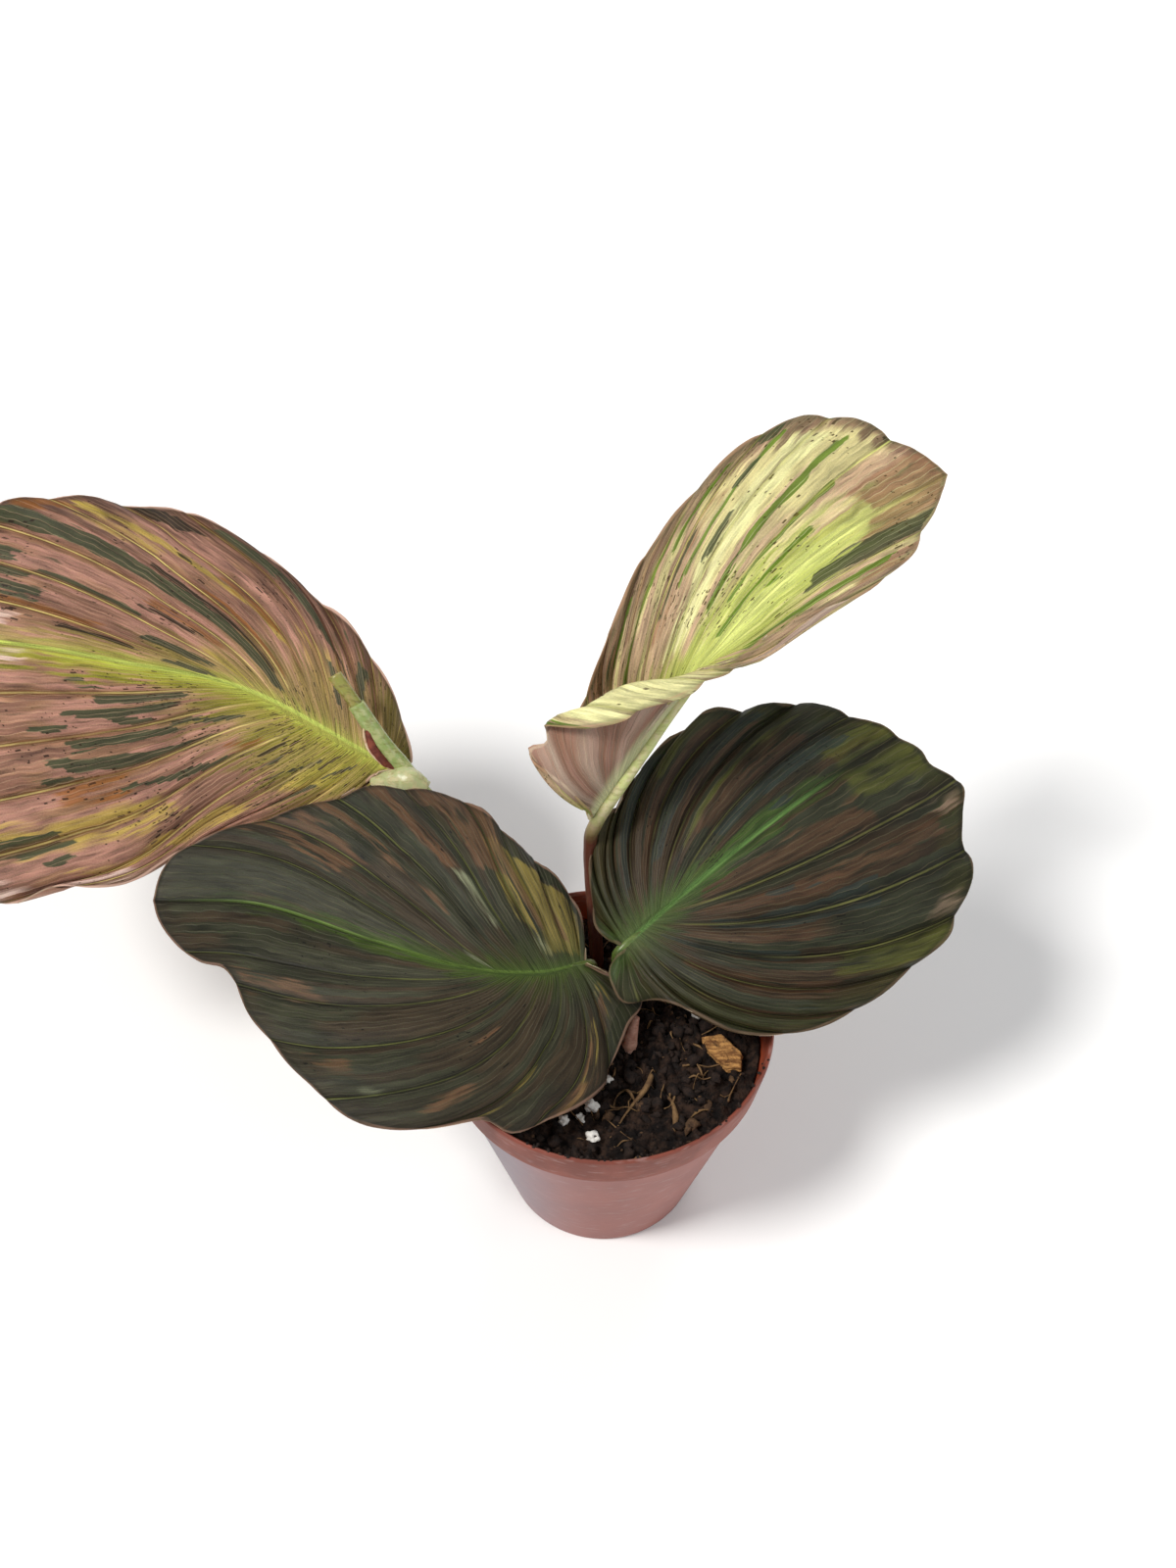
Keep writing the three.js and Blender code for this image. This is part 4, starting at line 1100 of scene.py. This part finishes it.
def build_leaves():
    """Each leaf with its own colours; the top leaf shows its underside too."""
    brown = srgb(84, 44, 32)
    pale = stalk_look("stalk_pale", srgb(150, 156, 84), srgb(170, 164, 110), srgb(120, 112, 56))
    dark = stalk_look("stalk_dark", srgb(76, 96, 40), srgb(96, 112, 56), srgb(56, 60, 26), brown, (68, 80))
    lime_colours = srgb(190, 196, 130), srgb(204, 196, 152), srgb(150, 150, 90)
    lime = stalk_look("stalk_lime", *lime_colours, brown, (98, 116))
    leaves = [
        ("upper_left", UPPER_LEFT_LEAF, COPPER_PATCHES, COPPER, pale, "copper_leaf"),
        ("lower_left", LOWER_LEFT_LEAF, DARK_PATCHES, DARK, dark, "dark_leaf"),
        ("right", RIGHT_LEAF, SLATE_PATCHES, SLATE, dark, "slate_leaf"),
        ("top", TOP_LEAF, LIME_PATCHES, LIME, lime, "lime_leaf"),
    ]
    for place, leaf, patches, look, stalk, slot in leaves:
        looks = [leaf_upper(f"leaf_{place}_upper", look), leaf_under(f"leaf_{place}_under", UNDER)]
        blade(f"kaempferia_leaf_{place}", leaf, patches, looks, slot, f"leaf_{place}")
        add_piece(f"kaempferia_stalk_{place}", stalk_and_keel(leaf), [stalk], slot)


# Pot
def rounded(points, radius, steps=5):
    """An open outline with each inner corner turned by a small curve."""
    result = [points[0]]
    for before, corner, after in zip(points, points[1:], points[2:]):
        a, b, c = (np.array(p, float) for p in (before, corner, after))
        reach = min(radius, np.linalg.norm(a - b) * 0.45, np.linalg.norm(c - b) * 0.45)
        start, end = b + unit(a - b) * reach, b + unit(c - b) * reach
        for t in np.linspace(0, 1, steps):
            result.append(tuple((1 - t) ** 2 * start + 2 * t * (1 - t) * b + t * t * end))
    return [*result, points[-1]]


def pot_look():
    s = Look("pot_plastic", Specular_IOR_Level=0.4)
    place = s.place()
    x, y, height = (way / MM for way in s.split(place))
    cloud = s.noise(place, 60.0, 4.0, 0.6)
    speck = s.noise(place, 900.0, 3.0, 0.7)
    scuff = s.noise(s.vector(x * 0.2, y * 0.2, height * 0.9), 1.0, 4.0)
    s.paint(s.mix(srgb(136, 66, 48), srgb(112, 55, 42), s.step(cloud, 0.35, 0.7)))
    s.paint(srgb(168, 70, 34), s.fall(s.math("SQRT", x * x + y * y), 42.0, 43.8) * 0.8)
    band_foot = POT_TOP - BAND_HEIGHT
    # Painted reflection with dust: below the band the body is painted a greyish mauve, stronger and bluer
    # toward the left, as the pale surroundings reflect in it.
    low = s.fall(height + cloud * 4.0, band_foot, band_foot + 3.5)
    left = s.fall(x, -34.0, 4.0)
    dust_and_reflection = low * (0.3 + cloud * 0.5 + left * 0.6)
    s.paint(s.mix(srgb(126, 110, 112), srgb(146, 142, 152), left), dust_and_reflection * 0.8)
    s.paint(srgb(70, 48, 38), s.step(speck, 0.66, 0.72) * 0.5)
    s.paint(srgb(168, 146, 142), s.step(scuff, 0.54, 0.75) * 0.35)
    return s.finish(speck * 0.02 + scuff * 0.03, Roughness=0.42 + cloud * 0.25)


def build_pot():
    band_foot = POT_TOP - BAND_HEIGHT
    wall_top = BAND_FOOT_RADIUS - BAND_STEP
    outside = [
        (PLATE_RADIUS, 0), (BASE_RADIUS - 0.6, 0), (BASE_RADIUS, BAND_ROUND),
        (wall_top, band_foot - BAND_ROUND), (BAND_FOOT_RADIUS, band_foot - 0.1),
        (RIM_RADIUS, POT_TOP - LIP), (RIM_RADIUS - LIP * 0.6, POT_TOP),
    ]
    inside = [
        (RIM_RADIUS - WALL, POT_TOP - LIP), (BAND_FOOT_RADIUS - WALL, band_foot + BAND_ROUND),
        (wall_top - WALL, band_foot - BAND_ROUND), (BASE_RADIUS - WALL, FLOOR), (PLATE_RADIUS, FLOOR),
    ]
    profile = rounded(outside + inside, 0.7)
    wall = skin([circle(radius, height, POT_SIDES) for radius, height in profile], "joined")
    sectors = [floor_sector(hole) for hole in range(DRAIN_HOLES)]
    add_piece("nursery_pot", joined([wall, *sectors]), [pot_look()], "pot", "pot")


def floor_sector(hole):
    """A sector of the pot's flat floor round one drain hole, which faces its border point by point."""
    half = math.pi / DRAIN_HOLES
    middle = 2 * math.pi * (hole + 0.5) / DRAIN_HOLES
    centre = np.array([math.cos(middle), math.sin(middle)]) * DRAIN_CIRCLE
    angles = np.linspace(middle - half, middle + half, POT_SIDES // DRAIN_HOLES + 1)
    arc = np.stack([np.cos(angles), np.sin(angles)], 1) * PLATE_RADIUS
    inward, outward = np.linspace(1, 0, 9)[1:, None], np.linspace(0, 1, 9)[1:-1, None]
    border = np.vstack([arc, arc[-1] * inward, arc[0] * outward])
    toward = unit(border - centre)
    hole_edge = centre + toward * DRAIN_RADIUS
    rings = [(border, FLOOR), (hole_edge, FLOOR), (hole_edge, 0), (border, 0)]
    return skin([np.column_stack([ring, np.full(len(ring), height)]) for ring, height in rings], "open")


# Soil
def soil_height(x, y):
    swell = SOIL_SWELL * math.sin(x / 11 + 0.6) * math.cos(y / 9 - 0.4)
    u, v = x * 0.93 + 1.7 * math.sin(y * 0.55), y * 0.88 + 1.3 * math.cos(x * 0.47)
    lumps = SOIL_LUMPS * math.sin(u) * math.sin(v)
    calm = 1 - float(smooth(math.hypot(x, y), SOIL_CALM, 41.5))
    return SOIL_TOP + (swell + lumps) * calm


def crumbly(x, y):
    """Fine crumbs on the soil's slow form, in millimetres."""
    clods = noise.voronoi((x * 0.32, y * 0.32, 0.5))[0]
    grains = noise.voronoi((x * 1.25, y * 1.25, 4.0))[0]
    rough = noise.fractal((x * 0.5, y * 0.5, 1.0), 0.6, 2.2, 5)
    return 3.0 * (0.45 - clods[0]) + 1.0 * (0.4 - grains[0]) + 1.3 * rough


def soil_look():
    s = Look("potting_mix", Roughness=0.9, Specular_IOR_Level=0.2)
    place = s.place()
    clod = s.noise(place, 260.0, 5.0, 0.65)
    fine = s.noise(place, 1200.0, 4.0, 0.7)
    grit = s.node("ShaderNodeTexVoronoi", {"Vector": place, "Scale": 900.0}, "Distance")
    s.paint(s.mix(srgb(20, 14, 12), srgb(58, 42, 33), s.step(clod, 0.42, 0.68)))
    s.paint(srgb(84, 62, 46), s.step(fine, 0.62, 0.74) * 0.6)
    s.paint(srgb(12, 9, 9), s.fall(clod, 0.3, 0.45) * 0.8)
    return s.finish(fine * 0.5 + grit * 0.4)


def build_soil():
    layers = [circle(radius, height, SOIL_SIDES) for radius, height in SOIL_FOOT]
    for ring in range(SOIL_RINGS, 0, -1):
        radius = SOIL_RADIUS * ring / SOIL_RINGS
        calm = 1 - 0.6 * float(smooth(radius, 38, 41.7))
        layer = circle(radius, 0, SOIL_SIDES)
        layer[:, 2] = [soil_height(x, y) + crumbly(x, y) * calm for x, y, _ in layer]
        layers.append(layer)
    points, faces = skin(layers, tips=(None, (0, 0, on_soil(0, 0))))
    # a quad is split from its first corner, so the quads are turned by one
    faces = [(*face[1:], face[0]) if len(face) == 4 else face for face in faces]
    add_piece("potting_mix", (points, faces), [soil_look()], "soil", "soil")


def icosphere(level):
    mesh = bpy.data.meshes.new("lump")
    made = bmesh.new()
    bmesh.ops.create_icosphere(made, subdivisions=level, radius=1.0)
    made.to_mesh(mesh)
    made.free()
    points = np.array([vertex.co[:] for vertex in mesh.vertices])
    faces = [tuple(face.vertices) for face in mesh.polygons]
    bpy.data.meshes.remove(mesh)
    return points, faces


def lump(source, centre, size, flat, rough, draw):
    """One uneven grain from a sphere's points and faces."""
    points, faces = source
    shift = Vector((draw.uniform(0, 50), draw.uniform(0, 50), draw.uniform(0, 50)))
    spread = np.array([1 + rough * noise.noise(Vector(point) * 1.6 + shift) for point in points])
    shape = points * spread[:, None] * np.array([size, size * draw.uniform(0.6, 1), size * flat])
    turn = Matrix.Rotation(draw.uniform(0, 6.28), 3, "Z") @ Matrix.Rotation(draw.uniform(-0.6, 0.6), 3, "X")
    return shape @ np.array(turn).T + np.array(centre), faces


def on_soil(x, y):
    return soil_height(x, y) + crumbly(x, y)


def spots_on_soil(draw, count, limit=39.5):
    """Seeded places on the soil, clear of the stalks and the bark."""
    found = []
    while len(found) < count:
        radius, angle = limit * math.sqrt(draw.random()), draw.uniform(0, 2 * math.pi)
        x, y = radius * math.cos(angle), radius * math.sin(angle)
        if all(math.hypot(x - cx, y - cy) > gap for cx, cy, gap in KEPT_CLEAR):
            found.append((x, y))
    return found


def plain_look(name, first, second, scale, rough=0.85):
    s = Look(name, Roughness=rough, Specular_IOR_Level=0.25)
    place = s.place()
    cloud = s.noise(place, scale, 4.0, 0.65)
    fine = s.noise(place, scale * 4, 3.0, 0.7)
    s.paint(s.mix(first, second, s.step(cloud, 0.35, 0.65)))
    s.paint(s.shade(s.colour, 0.75 + fine * 0.5))
    return s.finish(fine * 0.3)


def build_crumbs():
    draw = random.Random(SEED)
    ball, small = icosphere(2), icosphere(1)
    dark, brown = [], []
    for x, y in spots_on_soil(draw, CRUMBS):
        size = 0.35 + 1.7 * draw.random() ** 2.4
        target = dark if draw.random() < DARK_CRUMB_SHARE else brown
        centre = (x, y, on_soil(x, y) + 0.25 * size)
        source = small if size < SMALL_CRUMB else ball
        flat = draw.uniform(0.5, 0.9)
        target.append(lump(source, centre, size, flat, rough=0.75, draw=draw))
    for _ in range(RIM_CRUMBS):
        angle = math.radians(draw.uniform(*RIM_CRUMB_ARC))
        radius = RIM_RADIUS - draw.uniform(0.4, 1.6)
        centre = (radius * math.cos(angle), radius * math.sin(angle), POT_TOP + draw.uniform(-0.1, 0.2))
        dark.append(lump(small, centre, draw.uniform(0.2, 0.65), flat=0.7, rough=0.75, draw=draw))
    dark_look = plain_look("crumb_dark", srgb(24, 18, 16), srgb(46, 34, 28), scale=500)
    brown_look = plain_look("crumb_brown", srgb(58, 42, 31), srgb(96, 72, 50), scale=500)
    add_piece("soil_crumbs", joined(dark), [dark_look], "soil")
    add_piece("soil_bits", joined(brown), [brown_look], "soil")


def build_perlite():
    draw = random.Random(SEED + 1)
    ball = icosphere(3)
    spots = spots_on_soil(draw, STREWN_PERLITE)
    strewn = [(x, y, draw.uniform(0.5, 1.3)) for x, y in spots if x < -5 or y > 5]
    grains = []
    for x, y, size in PERLITE + strewn:
        centre = (x, y, on_soil(x, y) + 0.3 * size)
        grains.append(lump(ball, centre, size, flat=0.8, rough=0.7, draw=draw))
    look = plain_look("perlite_white", srgb(248, 246, 240), srgb(226, 222, 214), scale=700)
    add_piece("perlite", joined(grains), [look], "soil")


def fibre(points, radius, sides=7):
    path = [(x, y, on_soil(x, y) + 0.7 * lift) for x, y, lift in points]
    start = path[0][0]
    radii = [radius * (0.75 + 0.4 * math.sin(2.1 * k + start)) for k in range(len(path))]
    radii[-1] *= 0.5
    return tube(path, radii, sides, steps=5, wobble=0.35, seed=start)


def build_fibres():
    draw = random.Random(SEED + 2)
    tubes = [fibre(points, radius, 10) for points, radius in FIBRES]
    for x, y in spots_on_soil(draw, THIN_FIBRES):
        length, angle = draw.uniform(2.5, 11), draw.uniform(0, 2 * math.pi)
        bend = draw.uniform(-0.9, 0.9)
        points = []
        for k in range(4):
            way = k / 3 - 0.5
            turn = angle + bend * way
            lift = draw.uniform(0.1, 1.4) if k in (1, 2) else draw.uniform(-0.6, 0.6)
            points.append((x + length * way * math.cos(turn), y + length * way * math.sin(turn), lift))
        if all(math.hypot(px, py) < 41 for px, py, _ in points):
            tubes.append(fibre(points, draw.uniform(0.14, 0.4)))
    look = plain_look("fibre", srgb(128, 100, 66), srgb(92, 68, 46), scale=420, rough=0.8)
    add_piece("root_fibres", joined(tubes), [look], "soil")


# Bark chip: layers that end unevenly, tilted on the soil
def build_bark():
    length, width, height = BARK.size
    angles = turns(72)
    layers = []
    for layer in range(BARK.layers + 1):
        share = layer / BARK.layers - 0.5
        ring = []
        for angle in angles:
            x, y = math.cos(angle), math.sin(angle)
            step = 0.1 * noise.noise((x * 2.5, y * 2.5, layer * 1.7))
            reach = outline_reach(BARK_OUTLINE, angle) * (1 + step - 0.1 * (2 * abs(share)) ** 4) / 2
            ring.append((x * reach * length, y * reach * width, share * height))
        layers.append(ring)
    below = bark_face(layers[0], -1, 2.0)
    above = bark_face(layers[-1], 1, 650.0)
    tips = [(0, 0, layers[0][0][2]), (0, 0, layers[-1][0][2])]
    points, faces = skin([*below[::-1], *layers, *above], tips=tips)
    x, y = BARK.at
    tilt = Matrix.Rotation(math.radians(BARK.tilt), 3, "X")
    turn = np.array(Matrix.Rotation(math.radians(BARK.turn), 3, "Z") @ tilt)
    placed = points @ turn.T + np.array([x, y, soil_height(x, y) + height / 2 - BARK.sink])
    add_piece("bark_piece", (placed, faces), [bark_look()], "bark", "bark_chip", smooth_shade=False)


def bark_face(border, side, shift):
    """Rings inside a border that carry the grooves of one face of the chip, from the border inward."""
    rings = []
    for inset in (0.75, 0.5, 0.25):
        ring = []
        for x, y, height in np.array(border) * (inset, inset, 1):
            long_grooves = 0.35 * noise.noise((x * 0.35, y * 1.8, shift))
            short_grooves = 0.15 * noise.noise((x * 2, y * 3, 1.0))
            ring.append((x, y, height + side * (long_grooves + short_grooves)))
        rings.append(ring)
    return rings


def outline_reach(outline, angle):
    """How far a closed outline lies from its middle at an angle."""
    way = np.array([math.cos(angle), math.sin(angle)])
    for a, b in zip(outline, outline[1:] + outline[:1]):
        a, b = np.array(a, float), np.array(b, float)
        side = b - a
        cross = way[0] * side[1] - way[1] * side[0]
        if abs(cross) < 1e-9:
            continue
        reach = (a[0] * side[1] - a[1] * side[0]) / cross
        share = (a[0] * way[1] - a[1] * way[0]) / cross
        if reach > 0 and -1e-9 <= share <= 1 + 1e-9:
            return reach
    return 1.0


def bark_look():
    s = Look("bark", Roughness=0.85, Specular_IOR_Level=0.25)
    place = s.place()
    grain = s.noise(s.turned(place, (0, 0, math.radians(-BARK.turn)), (180.0, 900.0, 900.0)), 1.0, 5.0, 0.7)
    spots = s.noise(place, 500.0, 3.0, 0.6)
    s.paint(s.mix(srgb(190, 142, 84), srgb(112, 74, 42), s.step(grain, 0.38, 0.62)))
    s.paint(srgb(66, 44, 30), s.step(spots, 0.55, 0.7) * 0.8)
    return s.finish(grain * 0.8)


# Left stem with the cut stalk
def build_left_stem():
    greens = srgb(140, 156, 92), srgb(166, 170, 116), srgb(116, 112, 58)
    green = stalk_look("stem_green", *greens, rough=0.24)
    olive = stalk_look("stem_olive", srgb(138, 138, 70), srgb(156, 142, 88), srgb(96, 78, 44), rough=0.26)
    cream = stalk_look("stem_cream", srgb(170, 176, 126), srgb(190, 184, 140), srgb(140, 132, 84))
    red = plain_look("membrane_inside", srgb(128, 66, 48), srgb(92, 44, 34), scale=400, rough=0.6)
    tan = plain_look("membrane_edge", srgb(214, 192, 158), srgb(180, 140, 108), scale=400, rough=0.6)
    radii = [radius - STEM_TRIM for radius in LEFT_STEM["radii"]]
    stem = tube(LEFT_STEM["path"], radii, sides=40, steps=10, wobble=0.08)
    sleeve = open_sleeve(CUT_STALK[:5], SLEEVE_RADII, wall=0.3, sides=40, depth=6)
    core = open_sleeve(CUT_STALK[3:], CORE_RADII, wall=0.4, sides=36, depth=9)
    add_piece("old_stem", stem, [cream], "stalk", "stem_left")
    add_piece("old_stem_knob", tube(**KNOB, sides=36, steps=12, wobble=0.1), [cream], "stalk")
    add_piece("cut_stalk_sleeve", sleeve, [green], "stalk")
    add_piece("cut_stalk_core", core, [olive], "stalk")
    add_piece("cut_stalk_membrane", tube(**MEMBRANE, sides=20, wobble=0.2), [red], "stalk")
    add_piece("cut_stalk_membrane_edge", tube(**MEMBRANE_EDGE, sides=14, wobble=0.2), [tan], "stalk")


def open_sleeve(path, radii, wall, sides, depth):
    """A tube open at its far end, with an uneven cut edge and a thin wall."""
    outer = tube_rings(path, radii, sides, 10, wobble=0.04)
    inner = tube_rings(path, [radius - wall for radius in radii], sides, 10, wobble=0.04)
    way = unit(outer[-1].mean(0) - outer[-2].mean(0))
    for side, angle in enumerate(turns(sides)):
        cut = 0.5 * noise.noise((side * 0.35, 2.0, 1.0)) + 0.35 * math.sin(angle)
        outer[-1][side] += way * cut
        inner[-1][side] += way * cut
    return skin([*outer, *inner[::-1][: depth + 1]])


def build_sheath():
    """Papery strips that stand round the stalk, torn at different heights."""
    rows = 26
    rings = []
    for radius, shares in ((DRY_SHEATH.radius, range(rows + 1)), (DRY_SHEATH.bore, range(rows, -1, -1))):
        for share in np.array(shares) / rows:
            ring = []
            for angle in turns(96):
                x, y = math.cos(angle), math.sin(angle)
                tear = DRY_SHEATH.tear * (0.5 - 0.5 * math.cos(DRY_SHEATH.teeth * angle)) + 1.5 * y
                ragged = 1.3 * noise.noise((x * 6, y * 6, 2.0))
                height = mix(DRY_SHEATH.foot, DRY_SHEATH.top - tear + ragged, share)
                width = radius + 0.28 * share * noise.noise((x * 4, y * 4, height * 0.15))
                ring.append((DRY_SHEATH.at[0] + width * x, DRY_SHEATH.at[1] + width * y, height))
            rings.append(ring)
    look = plain_look("dry_sheath", srgb(128, 92, 66), srgb(84, 56, 42), scale=350, rough=0.75)
    add_piece("papery_sheath", skin(rings, "joined"), [look], "dry_sheath", "dry_sheath")


def build_shoot():
    look = stalk_look("shoot_skin", srgb(196, 152, 132), srgb(170, 122, 104), srgb(140, 92, 78))
    add_piece("young_shoot", tube(**SHOOT, sides=32, steps=10, wobble=0.06), [look], "shoot", "shoot")


# Stage
def build_stage():
    s = Look("floor_paint", Roughness=0.8, Specular_IOR_Level=0.2)
    s.paint(s.mix(srgb(246, 246, 246), srgb(243, 243, 243), s.noise(s.place(), 3.0, 2.0)))
    corners = np.array([(-1, -1, 0), (1, -1, 0), (1, 1, 0), (-1, 1, 0)]) * FLOOR_REACH
    make_object("floor", corners, [(0, 1, 2, 3)], [s.finish()])
    world = bpy.data.worlds.new("studio")
    bpy.context.scene.world = world
    world.use_nodes = True
    world.node_tree.nodes["Background"].inputs["Color"].default_value = (1.0, 1.0, 1.0, 1.0)
    world.node_tree.nodes["Background"].inputs["Strength"].default_value = SKY_STRENGTH
    for name, at, spread, strength, colour in SUNS:
        light = bpy.data.lights.new(name, "SUN")
        light.angle = math.radians(spread)
        light.energy = strength
        light.color = colour
        lamp = bpy.data.objects.new(name, light)
        lamp.location = at
        lamp.rotation_euler = (LIT_POINT - Vector(at)).to_track_quat("-Z", "Y").to_euler()
        bpy.context.scene.collection.objects.link(lamp)


def build_camera():
    camera = bpy.data.cameras.new("camera")
    camera.sensor_width = SENSOR
    camera.lens = SENSOR * CAMERA_FOCAL_PX / PHOTO_HEIGHT_PX
    camera.clip_start = 0.01
    at, target = Vector(CAMERA_AT) * MM, Vector(CAMERA_LOOKS_AT) * MM
    back = (at - target).normalized()
    right = Vector((0, 0, 1)).cross(back).normalized()
    up = back.cross(right)
    roll = math.radians(CAMERA_ROLL)
    x = right * math.cos(roll) + up * math.sin(roll)
    y = up * math.cos(roll) - right * math.sin(roll)
    seen = bpy.data.objects.new("camera", camera)
    seen.matrix_world = Matrix.Translation(at) @ Matrix((x, y, back)).transposed().to_4x4()
    bpy.context.scene.collection.objects.link(seen)
    bpy.context.scene.camera = seen
    bpy.context.scene.view_settings.view_transform = "Standard"


build_camera()
build_stage()
build_pot()
build_soil()
build_crumbs()
build_perlite()
build_fibres()
build_bark()
build_left_stem()
build_sheath()
build_shoot()
build_leaves()
